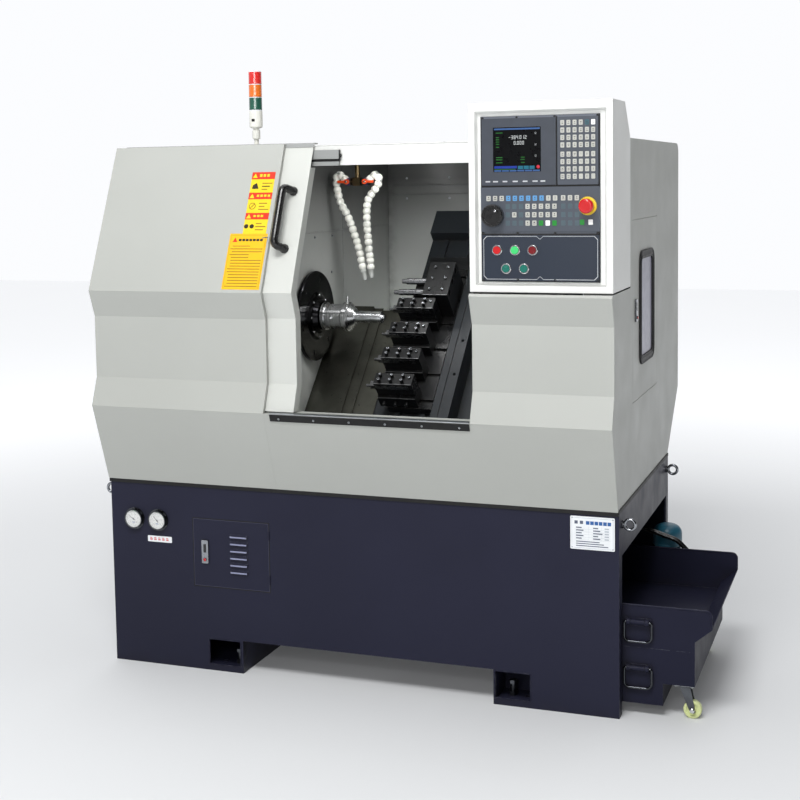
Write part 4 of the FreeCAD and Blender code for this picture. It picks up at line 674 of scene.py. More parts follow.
for side, x in (("left", 82.0), ("right", 165.0)):
    dial = Piece("gauge_dial_" + side, "frame", "gauge_metal", DIAL_WHITE, MARK_DARK, KEY_GREEN, RED, ZINC,
                 LABEL_BLUE)
    spot = front(x, 459, -9)
    dial.turned(spot, [(26.6, 0), (26.6, 0.5), (0, 0.5)], 0, 48)
    for k in range(41):
        turn = 225 - k * 270 / 40
        long = 4.2 if k % 8 == 0 else 2.2
        dial.block(spun(spot, turn), 23.6 - long, 23.6, -0.22, 0.22, 0.5, 0.62, 1)
    for k in range(6):
        turn = math.radians(225 - k * 54)
        middle = moved(spot, 15.4 * math.cos(turn), 15.4 * math.sin(turn))
        number(dial, moved(middle, -1.2, -1.6), str(k * 2 % 10), 3.4, 1, 0.5)
    for k in range(12):
        dial.block(spun(spot, 100 - k * 7), 24.2, 25.6, -1.5, 1.5, 0.5, 0.6, 2)
    needle = spun(spot, 146 if side == "left" else 132)
    dial.sheet(needle, [(-7, -1.3), (16, -0.7), (20, 0), (16, 0.7), (-7, 1.3)], 1.6, 2.0, 1)
    dial.block(spot, -5, 5, -12, -9.5, 0.5, 0.6, 5)
    dial.turned(spot, [(2.6, 0.5), (2.6, 2.4), (1.8, 3), (0, 3)], 4, 18)
    for u, v in circle(3, 31.6, 90):
        dial.screw(moved(spot, u, v, -6), 2.4, 2.6, 4)
    dial.done()
    pane = Piece("gauge_glass_" + side, "frame", "window_glass", DIAL_GLASS)
    pane.turned(spot, [(26.9, 3.1), (26.9, 3.6), (20, 3.9), (0, 4.0), (0, 3.3), (26.9, 3.0)], 0, 40)
    pane.done()

latch = Piece("access_latch_button", "access_latch", "red_plastic", RED, BLACK_PLASTIC)
latch.turned(front(326, 348, -7), [(4.4, -0.4), (4.4, 1.0), (3.8, 1.6), (0, 1.8)], 0, 20)
latch.block(front(326, 378, -5), -4.5, 4.5, -8, 18, -0.1, 0.35, 1)
latch.done(0.2)
louvres = Piece("louvre_lining_and_highlights", "access_door", "hose_rubber", RUBBER, LOUVRE_HIGHLIGHT, NAVY)
louvres.block(WORLD, 410, 471, 3.1, 4.6, 305, 452)
for k in range(6):
    z = 312 + 22 * k
    # Each louvre's lip is a light strip, a painted highlight.
    louvres.block(WORLD, 413, 468, -6.8, -5.6, z + 0.2, z + 4.6, 1)
    hood = [(-6.2, z + 2.3), (-5.9, z + 2.0), (-0.1, z + 10.1), (-0.4, z + 10.4)]
    louvres.sheet(along_x(0, 0, 0), hood, 412.4, 468.6, 2)
louvres.done(0.2)
door_low, door_high = (Vector(corner) * 1000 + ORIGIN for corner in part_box("access_door"))


def door_line(grow):
    """The access door's outline, grown on every side."""
    x0, x1, z0, z1 = door_low.x - grow, door_high.x + grow, door_low.z - grow, door_high.z + grow
    return [(x0, z0), (x1, z0), (x1, z1), (x0, z1)]


# A black band filling the gap round the access door: painted shade.
gap = Piece("access_gap_shade", "frame", "gasket_rubber", SEAM)
gap.ring(front(0, 0), door_line(2.8), door_line(0.7), -0.4, 0.3)
gap.done(0.1)
# A lighter line round the access door's own edges: painted highlight.
edge = Piece("access_edge_highlight", "access_door", "navy_paint", ACCESS_EDGE_HIGHLIGHT)
edge.ring(front(0, 0), door_line(-0.3), door_line(-1.4), -0.1, 0.25)
edge.done(0.1)
hinges = Piece("access_hinges", "frame", "navy_paint", NAVY)
for z in (300, 437):
    barrel = place((541.2, -1.6, z - 14), (1, 0, 0), (0, 1, 0))
    hinges.turned(barrel, [(0, 0), (2.4, 0), (2.4, 28), (0, 28)], 0, 14)
hinges.done(0.3)

rims = Piece("foot_window_rims", "frame", "navy_paint", CART_NAVY, GALVANISED)
for x0, x1 in ((331, 436), (1243, 1346)):
    half_w, half_h = (x1 - x0) / 2, 77 / 2
    outer, inner = [[(half_w + grow, half_h + grow), (-half_w - grow, half_h + grow),
                     (-half_w - grow, -half_h - grow), (half_w + grow, -half_h - grow)] for grow in (3, -0.4)]
    rims.ring(front((x0 + x1) / 2, 59.5), outer, inner, -0.2, 1.0)
rims.done(0.5)

# ---------------------------------------------------------------- enclosure
stickers = Piece("cover_stickers", "frame", "white_paint", STICKER_YELLOW, STICKER_RED, STICKER_ORANGE,
                 STICKER_BROWN, STICKER_INK)
PRINT, OVERPRINT = (0.3, 0.5), (0.45, 0.6)
TRIANGLE = [(-8, -6), (8, -6), (0, 8)]
spot = leaning(522, 1345, 0.1)
stickers.block(spot, -38, 38, 0, 180 * LEAN, 0, 0.35)
for k, (v0, v1) in enumerate(((159, 180), (100, 119.5), (41, 60))):
    stickers.block(spot, -38, 38, v0 * LEAN, v1 * LEAN, *PRINT, 1)
    stickers.sheet(moved(spot, -27, (v0 + v1) / 2 * LEAN - 1), TRIANGLE, *OVERPRINT, 0)
    for j in range(3 + k % 2):
        stickers.block(spot, -12 + 12 * j, -4 + 12 * j, (v0 + 7) * LEAN, (v1 - 6) * LEAN, *OVERPRINT, 0)
    sign = moved(spot, -21, (v0 - 20) * LEAN)
    if k == 0:
        stickers.sheet(sign, [(-11, -9), (11, -9), (3, 10), (-9, 3)], *PRINT, 4)
    elif k == 1:
        stickers.ring(sign, circle(24, 11), circle(24, 11 * 0.78), *PRINT, 3)
        stickers.block(sign @ Matrix.Rotation(0.8, 4, "Z"), -9, 9, -1.4, 1.4, *PRINT, 3)
    else:
        for u in (-9, 9):
            stickers.turned(moved(sign, u), [(7, 0.3), (7, 0.5), (0, 0.5)], 4, 18)
    for j in range(3):
        v = (v0 - 12 - 9 * j) * LEAN
        ink = 4 if (k, j) == (0, 1) else 3
        stickers.block(spot, 0, 33 - 7 * ((j + k) % 3), v - 1.6, v + 1.6, *PRINT, ink)
spot = leaning(505.5, 1185, 0.1)
stickers.block(spot, -61, 61, 0, 160 * LEAN, 0, 0.35, 2)
inset = [(57, 156 * LEAN), (-57, 156 * LEAN), (-57, 4), (57, 4)]
stickers.ring(spot, inset, [(u * 0.985, v if v < 9 else v - 1) for u, v in inset], 0.3, 0.42, 3)
stickers.sheet(moved(spot, -42, 141 * LEAN), TRIANGLE, *PRINT, 1)
for j in range(7):
    stickers.block(spot, -30 + 11.5 * j, -21 + 11.5 * j, 138 * LEAN, 145 * LEAN, *PRINT, 4)
lines = random.Random(3)
for j in range(15):
    v = (124 - 8.2 * j) * LEAN
    end = 10 if lines.random() < 0.3 else 52
    start = -47 if lines.random() < 0.6 else -53
    stickers.block(spot, start, end, v - 1.3, v + 1.3, 0.3, 0.42, 3)
stickers.done(0.1)

cap = Piece("door_top_cap", "door", "black_plastic", RAIL_GREY)
cap.block(WORLD, 24, 662.4, 121.5, 151.2, 1607.8, 1610)
cap.sheet(along_x(0, 0, 0), [(114.5, 1597), (116.7, 1597), (122.2, 1609.5), (122.2, 1610), (119.8, 1610)],
          24, 662.4)
cap.done(0.6)

grip = Piece("door_grip", "door", "black_plastic", BLACK_PLASTIC)
HANDLE_X, HANDLE_SHIFT, HANDLE_REACH = 621.0, 19.0, 38.0
feet = [leaning(HANDLE_X, z, -14) for z in (1306, 1472)]
ankles = [f @ Vector((0, 0, 6)) for f in feet]
knees = [f @ Vector((-HANDLE_SHIFT, 0, HANDLE_REACH)) for f in feet]


def bent(corners, radius, steps=8):
    """A path through the corners with each inner corner rounded."""
    path = [corners[0]]
    for a, b, c in zip(corners, corners[1:], corners[2:]):
        start, end = b + (a - b).normalized() * radius, b + (c - b).normalized() * radius
        for i in range(steps + 1):
            t = i / steps
            path.append(start * (1 - t) ** 2 + b * 2 * t * (1 - t) + end * t ** 2)
    return path + [corners[-1]]


grip.pipe(WORLD, bent([ankles[0], knees[0], knees[1], ankles[1]], 18), 12.0, 0, 24)
for foot in feet:
    grip.turned(foot, [(13.6, 0), (14, 1.5), (14, 5), (13, 8), (11, 10)], 0, 28)
grip.done(0.4, replaces=("door_handle",))

rail = Piece("rail_slot", "frame", "black_plastic", SEAM, OXIDE)
rail.block(WORLD, 12, 742, 120.2, 125.2, 1553.4, 1560.2)
rail.block(WORLD, 741, 745.5, 118.1, 126, 1553, 1588, 1)
rail.turned(along_x(745.5, 121.5, 1571), [(6, 0), (6, 3.6), (4.8, 4.8), (0, 4.8)], 1, 6)
rail.done(0.4)

stops = Piece("door_stops", "frame", "hose_rubber", RUBBER)
for z in (900, 1040):
    facing_left = place((1201.9, -10, z), (0, 0, 1), (0, 1, 0))
    stops.turned(facing_left, [(0, 0), (5, 0), (6.5, -0.2), (6.5, 0.7), (0, 0.8)], 0, 20)
stops.done()

# ---------------------------------------------------------------- chamber
lining = Piece("chamber_seams", "frame", "liner_paint", LINER, GALVANISED)
wall = right(0, 0, LINER_X)
lining.block(wall, -52, 996, 1333, 1336, 0.05, 1.6)
lining.block(wall, 560, 563, 640, 1596, 0.05, 1.4)
for z in (1444, 1476):
    lining.block(front(LINER_X, z, LINER_Y), 0.5, 636, -1.6, 1.6, 0.1, 2.2)
for y, z in ((30, 1318), (150, 1318), (330, 1318), (470, 1318), (460, 1200), (120, 900), (30, 1000),
             (30, 1180)):
    lining.screw(moved(wall, y, z), 4.2, 2.4, 1)
for x in (640, 800, 960, 1120):
    for z in (1428, 1500):
        lining.screw(front(x, z, LINER_Y), 4.0, 2.2, 1)
lining.done(0.4)

valves = Piece("valve_bodies", "frame", "lever_plastic", BLUE_VALVE, CHROME)
for x in (650, 712):
    barrel = [(0, 0), (9.8, 0), (12.6, 2.4), (12.6, 17.6), (9.8, 20), (0, 20)]
    valves.turned(along_x(x - 10, 420, 1492), barrel, 0, 24)
    valves.turned(front(x, 1492, 398), [(3.9, 0), (3.9, 1.6), (2.6, 2.6), (0, 2.6)], 1, 6)
valves.done(0.4)

HOSE_ROUTES = {
    "left": [(638, 1500), (616, 1516), (608, 1496), (612, 1462), (622, 1424), (647, 1378), (678, 1290),
             (696, 1208)],
    "right": [(724, 1500), (746, 1514), (754, 1492), (738, 1464), (716, 1434), (710, 1380), (714, 1310),
              (722, 1216)],
}


def smooth(points, steps=24):
    """Close points on a smooth curve through the given ones."""
    ends = [points[0] * 2 - points[1]] + points + [points[-1] * 2 - points[-2]]
    path = []
    for a, b, c, d in zip(ends, ends[1:], ends[2:], ends[3:]):
        for i in range(steps):
            t = i / steps
            path.append(0.5 * (2 * b + (c - a) * t + (2 * a - 5 * b + 4 * c - d) * t * t
                               + (3 * b - a - 3 * c + d) * t ** 3))
    return path + [points[-1]]


def aimed(point, ahead):
    """w runs along the given direction."""
    made = Vector(ahead).to_track_quat("Z", "Y").to_matrix().to_4x4()
    made.translation = point
    return made


for side, route in HOSE_ROUTES.items():
    hose = Piece("coolant_hose_" + side, "frame", "hose_plastic", HOSE_WHITE, HOSE_GREY)
    path = smooth([Vector((x, 420, z)) for x, z in route])
    ball = arc((0, 0), 12.8, -62, 62, 12)
    gone, count = 0.0, 0
    for a, b in zip(path, path[1:]):
        gone += (b - a).length
        if gone >= count * 20.0:
            hose.turned(aimed(a, b - a), ball, 0, 28)
            hose.turned(aimed(a, b - a), [(7.4, 9.4), (8.4, 9.8), (8.4, 12.2), (7.4, 12.6)], 1, 24)
            count += 1
    nozzle = [(6, -8), (10.6, -4), (11, 3), (9, 6), (7.6, 18), (6.2, 30), (4.6, 30), (4.6, 22), (0, 20)]
    hose.turned(aimed(path[-1], path[-1] - path[-2]), nozzle, 1, 24)
    hose.done(replaces=("coolant_hoses",) if side == "left" else ())

# ---------------------------------------------------------------- spindle and tools
bolts = Piece("chuck_bolts", "spindle", "chrome", CHROME, OXIDE)
for u, v in circle(6, 116, 15):
    bolts.screw(along_x(578.2, SPINDLE_Y + u, SPINDLE_Z + v), 5.8, 5.2, 1)
for u, v in circle(8, 66):
    bolts.screw(along_x(591.8, SPINDLE_Y + u, SPINDLE_Z + v), 4.0, 3.0, 0)
bolts.done(0.3)

SPINDLE_S = (SPINDLE_Y + SPINDLE_Z - SLANT_Z) * SLOPE
SPINDLE_LIFT = (SPINDLE_Z - SLANT_Z - SPINDLE_Y) * SLOPE
FIRST_S = SPINDLE_S + 24
BLOCK_ROWS = [FIRST_S - BLOCK_PITCH * k for k in (3, 2, 1, 0)]
BLOCK_TOP = SPINDLE_LIFT + 8
screws = Piece("block_screws", "table", "black_oxide", OXIDE, ZINC)


def stud(piece, where, radius, height):
    """A standing set screw: black shank, and a bright zinc socket rim as a painted highlight."""
    piece.turned(where, [(radius, 0), (radius, height - 1.2), (radius * 0.86, height)], 0, 16)
    piece.turned(where, [(radius * 0.86, height), (radius * 0.7, height + 0.2), (radius * 0.5, height),
                         (radius * 0.5, height - 3), (0, height - 3)], 1, 6)


for s in BLOCK_ROWS:
    for k in range(3):
        x = 860 + k * 36
        stud(screws, slant(x, s + 38, BLOCK_TOP - 5), 5.2, 17.0)
        stud(screws, slant(x, s + 18, BLOCK_TOP - 2), 5.6, 17.0)
        under = place((x, (s - 79) * SLOPE, SLANT_Z + (s + 81) * SLOPE), (1, 0, 0), (0, -1, 1))
        stud(screws, under, 5.6, 12.0)
    stud(screws, slant(950, s + 36, BLOCK_TOP), 5.0, 4.0)
for s in (22, 67, 112):
    for x in (938, 980):
        stud(screws, slant(x, FIRST_S + 57 + s, SPINDLE_LIFT + 13), 4.6, 7.0)
screws.done(0.3)

edges = Piece("block_edges", "table", "ground_steel", STEEL)
for s in BLOCK_ROWS:
    edges.block(slant(842.4, s, 0), 0, 119.2, -0.6, 2.0, 98.2, 100.4)
    edges.block(slant(842.4, s, 0), 0, 119.2, 9.3, 11.6, BLOCK_TOP - 2.0, BLOCK_TOP + 0.3)
edges.block(slant(918.4, FIRST_S + 57, 0), 0, 81.2, -0.4, 1.6, SPINDLE_LIFT + 14.6, SPINDLE_LIFT + 16.3)
edges.done(0.3)

# ---------------------------------------------------------------- control panel
def button(x, z):
    return front(x, z, PANEL_Y)


BUTTONS = {"stop": (1279, 1302), "start": (1329, 1302), "power_off": (1378, 1302), "pump": (1304, 1252),
           "light": (1354, 1252)}
bezels = Piece("button_bezels", "frame", "chrome", CHROME, BLACK_PLASTIC)
bezel = [(11.0, 8.6), (11.2, 9.9), (13.2, 9.9), (14.7, 8.2), (14.7, 4), (15.6, 4.0), (15.6, 3.6), (11, 3.6)]
for x, z in BUTTONS.values():
    bezels.turned(button(x, z), bezel, 0, 36)
bezels.done(0.2)
collar = Piece("stop_collar", "frame", "red_plastic", YELLOW)
collar.turned(button(1529, 1420), [(15, 8.3), (22.8, 8.5), (24.6, 7.4), (24.9, 5.1)], 0, 40)
collar.done(0.3)

LIT = (0.3, 0.4)
screen = Piece("screen_glass", "frame", "lcd_plastic", SCREEN, SCREEN_WHITE, SCREEN_GREEN, SCREEN_BLUE,
               SCREEN_BAR, SCREEN_TEAL, SCREEN_RED, MARK_LIGHT)
spot = front(1270, 1513, -61.45)
screen.block(spot, 0.2, 132.8, 0.2, 119.8, 0, 0.3)
screen.block(spot, 3, 130, 113, 117.5, *LIT, 4)
screen.block(spot, 3, 66, 9.5, 16, *LIT, 3)
screen.block(spot, 3, 62, 6.5, 8.2, *LIT, 2)
for k in range(3):
    screen.block(spot, 69 + k * 16, 83 + k * 16, 7, 16, *LIT, 5)
for k in range(6):
    screen.block(spot, 3 + k * 21.4, 22.4 + k * 21.4, 1.2, 5.2, *LIT, 4)
screen.turned(moved(spot, 125, 13), [(4.6, 0.3), (4.6, 0.42), (0, 0.42)], 6, 20)
number(screen, moved(spot, 44, 88), "-384.012", 9.5, 1, 0.3)
number(screen, moved(spot, 58, 73), "0.000", 9.5, 1, 0.3)
for v in (104, 92, 86, 80, 74, 66):
    screen.block(spot, 8, 17 if v < 100 else 27, v, v + 2, *LIT, 2)
for v in (24, 32, 38):
    screen.block(spot, 8, 26, v, v + 2.2, *LIT, 2)
    screen.block(spot, 74 + v % 5, 88, v, v + 2.0, *LIT, 2)
for v in (100, 70, 40):
    number(screen, moved(spot, 114, v), "12", 5.0, 7, 0.3)
screen.done()

trim = Piece("panel_trim", "frame", "panel_paint", PANEL_LIGHT, SEAM, MARK_LIGHT, BLACK_PLASTIC, PANEL_DARK)
for z in (1663, 1348.6):
    trim.block(front(0, 0, PANEL_Y - 2.6), 1236, 1560, z - 6, z - 0.6, 0, 1.3)
for x0, x1, z0, z1 in ((1444.3, 1447.7, 1475, 1659), (1234.6, 1561.4, 1472, 1476.8),
                       (1234.6, 1561.4, 1342.4, 1347), (1234.6, 1237.6, 1217, 1662),
                       (1558.6, 1561.4, 1217, 1662), (1234.6, 1561.4, 1216.4, 1219.4)):
    trim.block(front(0, 0, PANEL_Y - 3), x0, x1, z0, z1, 0, 1.2, 1)
for z in (1658.6, 1347.6, 1221):
    for x in (1240.5, 1336, 1440, 1555.5):
        trim.screw(front(x, z, PANEL_Y - 3.4), 3.4, 2.6, 3)
for k, x in enumerate((1255, 1276, 1303, 1331, 1359, 1386, 1408)):
    trim.block(front(x, 1487.5, -63), -6.5, 6.5 + k % 2, -1.8, 1.8, 0, 0.25, 2)
for x, z in BUTTONS.values():
    trim.block(button(x, z + 22), -7, 7, -1.8, 1.8, 4, 4.4, 2)
trim.block(front(0, 0, PANEL_Y - 4), 1236.5, 1559.5, 1218.5, 1342.5, 0, 0.5, 4)
trim.done(0.25)

outline = Piece("panel_outline", "frame", "panel_paint", MARK_LIGHT)


def notched(grow):
    """The lower panel's border: cut corners, and a notch in the middle of its long sides."""
    x0, x1, z0, z1 = 1240 - grow, 1556 + grow, 1222 - grow, 1340 + grow
    c, n = 9.0, 7.0
    mid = 1398
    return [(x1, z0 + c), (x1, z1 - c), (x1 - c, z1), (mid + n + 2, z1), (mid + 2, z1 - n), (mid - 2, z1 - n),
            (mid - n - 2, z1), (x0 + c, z1), (x0, z1 - c), (x0, z0 + c), (x0 + c, z0), (mid - n - 2, z0),
            (mid - 2, z0 + n), (mid + 2, z0 + n), (mid + n + 2, z0), (x1 - c, z0)]


outline.ring(front(0, 0, PANEL_Y - 4.4), notched(0), notched(-1.3), 0, 0.35)
outline.done()

KEY_PITCH_X, KEY_PITCH_Z = 16.6, 19.6
keys = Piece("keypad_keys", "frame", "key_plastic", KEY_GREY, KEY_WHITE, KEY_TEAL, MARK_DARK)
dice = random.Random(7)
figures = "789456123-0."
for row in range(8):
    for column in range(6):
        x = 1462 + column * KEY_PITCH_X
        z = 1641 - row * KEY_PITCH_Z - (5 if row > 3 else 0)
        tone = {(0, 4): 2, (0, 5): 1}.get((row, column), 0)
        spot = front(x, z, -64)
        keys.plate(spot, 10.6, 13.8, -0.4, 0.7, 1.6, tone, 3)
        if row > 3 and column > 2:
            number(keys, moved(spot, -1.6, -2.6), figures[(row - 4) * 3 + column - 3], 5.4, 3, 0.6)
        else:
            for k in range(2):
                half = 1.4 + 2.0 * dice.random()
                keys.block(spot, -half, half, -3 + 4 * k, -1.6 + 4 * k, 0.6, 0.76, 3)
keys.done(0.35)

machine = Piece("machine_keys", "frame", "key_plastic", KEY_GREY, KEY_BLUE, KEY_GREEN, KEY_WHITE, KEY_BLANK,
                MARK_DARK)
PITCH_X = 18.5
spots = [(1256 + k * PITCH_X, 1442, 0 if k < 3 or k > 8 else 1) for k in range(11)]
spots += [(1463 + k * PITCH_X, 1442, 0) for k in range(3)]
for row, z in enumerate((1420, 1397.5, 1375)):
    spots += [(1365 + k * PITCH_X, z, (0, 0, 2, 3, 2)[k] if row == 2 else 0) for k in range(5)]
spots += [(1328, 1397.5, 0), (1514, 1377, 2), (1537, 1377, 3)]
for x, z, tone in spots:
    spot = front(x, z, -61.8)
    machine.plate(spot, 12, 14, -0.3, 0.7, 1.6, tone, 3)
    if tone < 2:
        half = 1.6 + 2.2 * dice.random()
        machine.block(spot, -half, half, -3.2, -1.8, 0.6, 0.76, 5)
        machine.block(spot, -half * 0.6, half * 0.6, 0.6, 3.6, 0.6, 0.76, 5)
for z in (1420, 1397.5, 1375):
    for x in (1309.5, 1328, 1346.5, 1463, 1481.5, 1500):
        if (x, z) != (1328, 1397.5):
            machine.plate(front(x, z, -61), 12, 14, -0.2, 0.25, 1.6, 4, 3)
machine.done(0.35)

knob = Piece("handwheel_marks", "handwheel", "black_plastic", MARK_DARK, CHROME)
for k in range(20):
    knob.block(spun(front(1269, 1396, -81), 18 * k), 25.2, 28.4, -0.35, 0.35, -0.15, 0.12)
knob.turned(front(1282, 1409, -92), [(3.2, -0.2), (3.2, 0.5), (2.2, 0.9), (0, 0.9)], 1, 18)
knob.done(0.1)

# ---------------------------------------------------------------- side door
pane = Piece("side_pane", "side_door", "window_glass", GREY_PANE)
pane.plate(right(429.5, 1112, 1597.1), 184.6, 285.6, 0, 0.9, 15.8, 0, 6)
pane.done(0.3)
bead = Piece("side_gasket", "side_door", "gasket_rubber", RUBBER)
for grow, lift in ((9.5, 1602.2), (-4.5, 1601.8)):
    path = rounded(209 + 2 * grow, 310 + 2 * grow, 24 + grow, 6)
    bead.pipe(right(429.5, 1112, lift - 1.6), [(u, v, 0) for u, v in path + path[:2]], 3.4, 0, 10, False)
bead.done()
latch = Piece("side_latch_button", "side_latch", "red_plastic", RED, BLACK_PLASTIC)
latch.turned(right(256, 1092, 1605), [(4.4, -0.4), (4.4, 1.0), (3.8, 1.6), (0, 1.8)], 0, 20)
latch.block(right(256, 1118, 1603), -4.5, 4.5, -7, 17, -0.1, 0.35, 1)
latch.done(0.2)

# ---------------------------------------------------------------- chip cart
rim = Piece("tray_rim", "cart", "navy_paint", CART_NAVY)
corner = arc((1828, 298), 15, 0, 90, 8)
near = [(1843, 47.2, 264)] + [(x, 47.2, z) for x, z in corner] + [(882, 47.2, 313)]
rim.pipe(WORLD, near + [(x, 658.8, z) for x, y, z in reversed(near)], 3.0, 0, 10)
rim.done()
bars = Piece("bail_bars", "cart", "navy_paint", CART_NAVY)
for z in (268, 137):
    bars.plate(front(1644, z, 44), 74, 22, 0, 2.4, 4)
    bars.turned(along_x(1624, 37, z), [(0, 0), (7, 0), (7, 40), (0, 40)], 0, 18)
    for x in (1618, 1670):
        lug = [(4.1, 0), (8.6, 0), (9.2, 0.8), (9.2, 9.6), (8.6, 10.4), (4.1, 10.4)]
        bars.turned(along_x(x - 5.2, 37, z), lug, 0, 20)
bars.done(0.5)
plates = Piece("caster_plates", "cart", "galvanised", GALVANISED)
for y in (75, 631):
    spot = top(1768, y, 97)
    plates.plate(spot, 58, 50, -3.2, 0, 5)
    for u in (-22, 22):
        for v in (-18, 18):
            plates.turned(moved(spot, u, v, -3.2) @ Matrix.Rotation(math.pi, 4, "X"),
                          [(4.6, 0), (4.6, 2.6), (3.8, 3.4), (0, 3.4)], 0, 6)
plates.done(0.5)
for name, x, y in (("front", 1790, 75), ("rear", 1746, 631)):
    caps = Piece("axle_cap_" + name, "caster_fork_" + name, "chrome", CHROME)
    for side in (-1, 1):
        spot = place((x, y + side * 16.6, 25), (side * -1, 0, 0), (0, 0, 1))
        caps.turned(spot, [(7.4, -0.6), (7.4, 1.6), (6.2, 3.4), (3.4, 4.6), (0, 5)], 0, 24)
    caps.done()
motor = Piece("pump_details", "cart", "pump_paint", TEAL, OXIDE, GALVANISED)
spot = top(PUMP_X, PUMP_Y, 194)
for k in range(24):
    motor.block(spun(spot, 15 * k), 35, 41.5, -1.0, 1.0, 14, 106)
motor.turned(spot, [(46.4, 112), (47.2, 113), (47.2, 118), (46.4, 119)], 0, 48)
motor.plate(front(PUMP_X, 262, PUMP_Y - 34), 56, 46, 0, 20, 5)
motor.turned(front(PUMP_X + 34, 262, PUMP_Y - 44), [(0, 0), (6, 0), (6, 0.1), (0, 0.2)], 1, 6)
for u, v in circle(4, 42, 45):
    motor.screw(moved(spot, u, v, 6), 3.6, 3.6, 2)
motor.done(0.5)

# ---------------------------------------------------------------- signal tower
LENS_RED = moulded("lens_red", (216, 34, 26), 0.2, 0.06, 60, 0.05, shine=0.6)
LENS_AMBER = moulded("lens_amber", (226, 112, 20), 0.2, 0.06, 60, 0.05, shine=0.6)
LENS_GREEN = moulded("lens_green", (10, 84, 66), 0.2, 0.06, 60, 0.05, shine=0.6)
tower = Piece("signal_stack", "frame", "tower_plastic", TOWER_WHITE, LENS_GREEN, LENS_AMBER, LENS_RED, SEAM,
              LABEL_WHITE)
spot = top(TOWER_X, TOWER_Y, 0)
tower.plate(spot, 34, 34, 1603, 1606, 4)
tower.plate(spot, 28, 28, 1606, 1611, 4)
tower.turned(spot, [(7, 1610), (7, 1626), (12, 1628), (12, 1652), (9, 1656), (9, 1659), (16, 1661),
                    (20, 1664), (20, 1712)], 0, 40)
tower.block(spot, -5, 5, -20.6, -19, 1680, 1688, 4)
for k in range(3):
    z = 1716 + k * 39
    tower.turned(spot, [(19, z - 4), (19, z), (19.9, z)], 5, 40)
    profile = [(19.9, z)]
    for j in range(12):
        profile += [(20.1, z + 1 + j * 2.9), (19.5, z + 2.4 + j * 2.9)]
    tower.turned(spot, profile + [(19.9, z + 36)], 1 + k, 40)
tower.turned(spot, [(19.2, 1830), (19.2, 1832), (17, 1833.8), (0, 1834)], 5, 40)
tower.done(replaces=("signal_tower",))

# ---------------------------------------------------------------- back and roof
rear = Piece("back_details", "frame", "white_paint", WHITE, GALVANISED, BLACK_PLASTIC)
for k in range(10):
    z = 900 + 26 * k
    rear.add(back(1400, z + 4.5), [(-130, 8, 0), (130, 8, 0), (130, -4, 7), (-130, -4, 7), (130, -4, 5.6),
                                   (-130, -4, 5.6), (130, 6, 0), (-130, 6, 0)],
             [(0, 3, 2, 1), (3, 5, 4, 2), (5, 7, 6, 4), (0, 7, 5, 3), (1, 2, 4, 6)])
nut = back(1400, 840, 1064)
rear.turned(nut, [(9.2, 6), (14, 6), (16.5, 3), (16.5, -6), (9.2, -6)], 2, 6)
for x in range(40, 1600, 190):
    for z in (800, 1545):
        rear.screw(back(x, z), 4.2, 2.6, 1)
for x in (534, 1066):
    rear.block(back(x, 0), -1.2, 1.2, 790, 1562, 0.05, 1.0)
for y in (200, 480, 760, 1000):
    for x in (14, 1580):
        rear.screw(top(x, y), 4.2, 2.6, 1)
for x in (534, 1066):
    rear.block(top(x, 0), -1.2, 1.2, 134, 1010, 0.05, 1.0)
rear.done(0.3)

guard = Piece("bar_guard", "frame", "black_oxide", OXIDE, GALVANISED)
hole = place((-4, SPINDLE_Y, SPINDLE_Z), (0, -1, 0), (0, 0, 1))
guard.turned(hole, [(42.2, -2), (42.2, 3.4), (43.4, 4.2), (58, 4.2), (60, 2.8), (60, 0.05)], 0, 48)
for u, v in circle(6, 51, 30):
    guard.screw(moved(hole, u, v, 4.2), 3.6, 3, 1)
guard.done(0.4)


# ---------------------------------------------------------------- stage, camera and lights
EYE = Vector((1.4759, -4.0864, 1.5019))
SKY_WHITE = (0.97, 0.98, 1.0, 1.0)
FLOOR_HALF = 14
YAW, PITCH, ROLL = math.radians(20.2), math.radians(5.1), math.radians(-0.9)
forward = Vector((-math.sin(YAW) * math.cos(PITCH), math.cos(YAW) * math.cos(PITCH), -math.sin(PITCH)))
level = Vector((math.cos(YAW), math.sin(YAW), 0.0))
upright = level.cross(forward)
across = level * math.cos(ROLL) + upright * math.sin(ROLL)
upward = upright * math.cos(ROLL) - level * math.sin(ROLL)
lens = bpy.data.cameras.new("camera")
lens.lens = 61.97
lens.sensor_width = 36.0
lens.shift_x = 0.003
lens.shift_y = -0.124
lens.clip_end = 60.0
camera = added("camera", lens)
camera.matrix_world = Matrix((across, upward, -forward)).transposed().to_4x4()
camera.matrix_world.translation = EYE
bpy.context.scene.camera = camera
bpy.context.scene.view_settings.view_transform = "Standard"


def light(name, where, target, size, power):
    """A white area light, in metres and watts."""
    data = bpy.data.lights.new(name, "AREA")
    data.shape = "RECTANGLE"
    data.size, data.size_y = size
    data.energy = power
    made = added(name, data)
    made.location = where
    made.rotation_euler = (Vector(target) - Vector(where)).to_track_quat("-Z", "Y").to_euler()


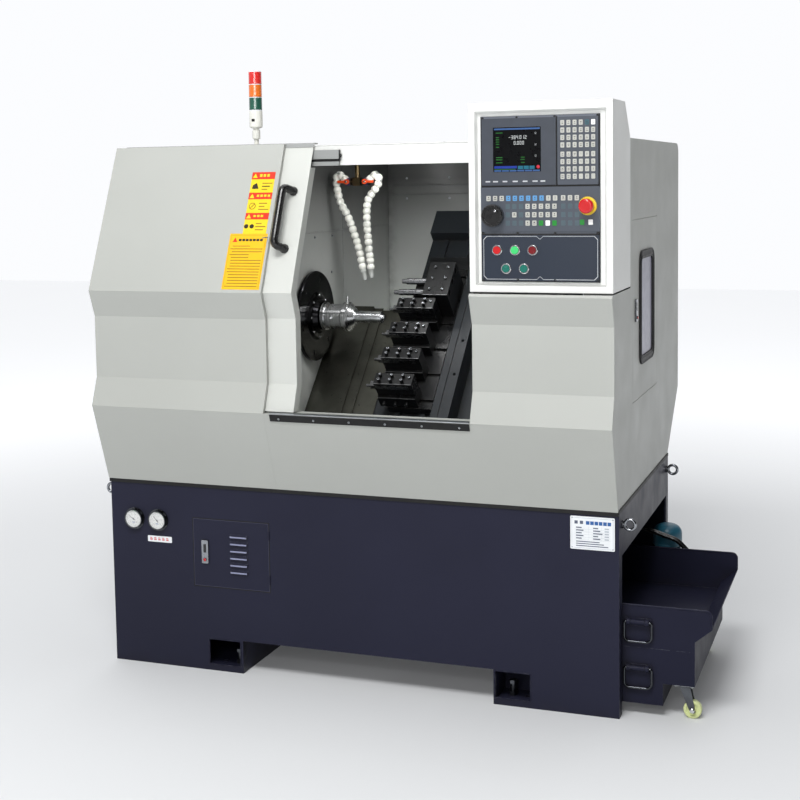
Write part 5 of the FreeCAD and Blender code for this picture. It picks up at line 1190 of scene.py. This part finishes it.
light("key", (0.3, -3.4, 5.0), (0.2, -0.3, 1.1), (2.4, 1.4), 215)
light("fill", (0.7, -5.0, 1.9), (0, 0, 1.1), (1.6, 1.4), 22)
light("strip", (0.7, -4.3, 2.4), (-0.15, -0.1, 1.07), (1.5, 0.22), 18)
light("top", (-0.2, 1.2, 5.8), (0, 0.6, 0), (6.0, 4.5), 110)
light("work", (0.12, -0.2, 1.545), (0.12, 0.5, 1.0), (0.35, 0.05), 1.5)
world = bpy.data.worlds.new("studio")
world.use_nodes = True
sky = world.node_tree
spread = sky.nodes.new("ShaderNodeSeparateXYZ")
sky.links.new(sky.nodes.new("ShaderNodeTexCoord").outputs["Generated"], spread.inputs[0])


def falling(axis, start, end, near, far):
    """The sky's strength along one axis, from near at the start to far at the end."""
    fade = sky.nodes.new("ShaderNodeMapRange")
    for key, value in {"From Min": start, "From Max": end, "To Min": near, "To Max": far}.items():
        fade.inputs[key].default_value = value
    sky.links.new(spread.outputs[axis], fade.inputs["Value"])
    return fade.outputs["Result"]


both = sky.nodes.new("ShaderNodeMath")
both.operation = "MULTIPLY"
sky.links.new(falling("X", 0.05, 0.6, 1.0, 0.09), both.inputs[0])
sky.links.new(falling("Y", -0.2, 0.5, 0.34, 1.0), both.inputs[1])
sky.links.new(both.outputs[0], sky.nodes["Background"].inputs["Strength"])
sky.nodes["Background"].inputs["Color"].default_value = SKY_WHITE
bpy.context.scene.world = world

floor_mesh = bpy.data.meshes.new("floor")
corners = [(x * FLOOR_HALF, y * FLOOR_HALF, 0) for x, y in ((-1, -1), (1, -1), (1, 1), (-1, 1))]
floor_mesh.from_pydata(corners, [], [(0, 1, 2, 3)])
floor = added("floor", floor_mesh)
pale = Shader("studio_floor", Roughness=0.8, Specular_IOR_Level=0.1)
pale.set("Base Color", pale.mix(pale.noise(0.6, 2), (0.62, 0.63, 0.64, 1), (0.65, 0.66, 0.67, 1)))
reach = pale.node("ShaderNodeVectorMath", {0: pale.coords}, operation="LENGTH").outputs["Value"]
# The floor glows more the farther it lies from the origin: painted light that whitens the far floor and
# leaves it darker near the machine.
pale.set("Emission Color", SKY_WHITE)
glow = {"Value": reach, "From Min": 1.2, "From Max": 5.5, "To Min": 0.06, "To Max": 0.62}
pale.set("Emission Strength", pale.node("ShaderNodeMapRange", glow,
                                        interpolation_type="SMOOTHSTEP").outputs["Result"])
floor_mesh.materials.append(pale.material)
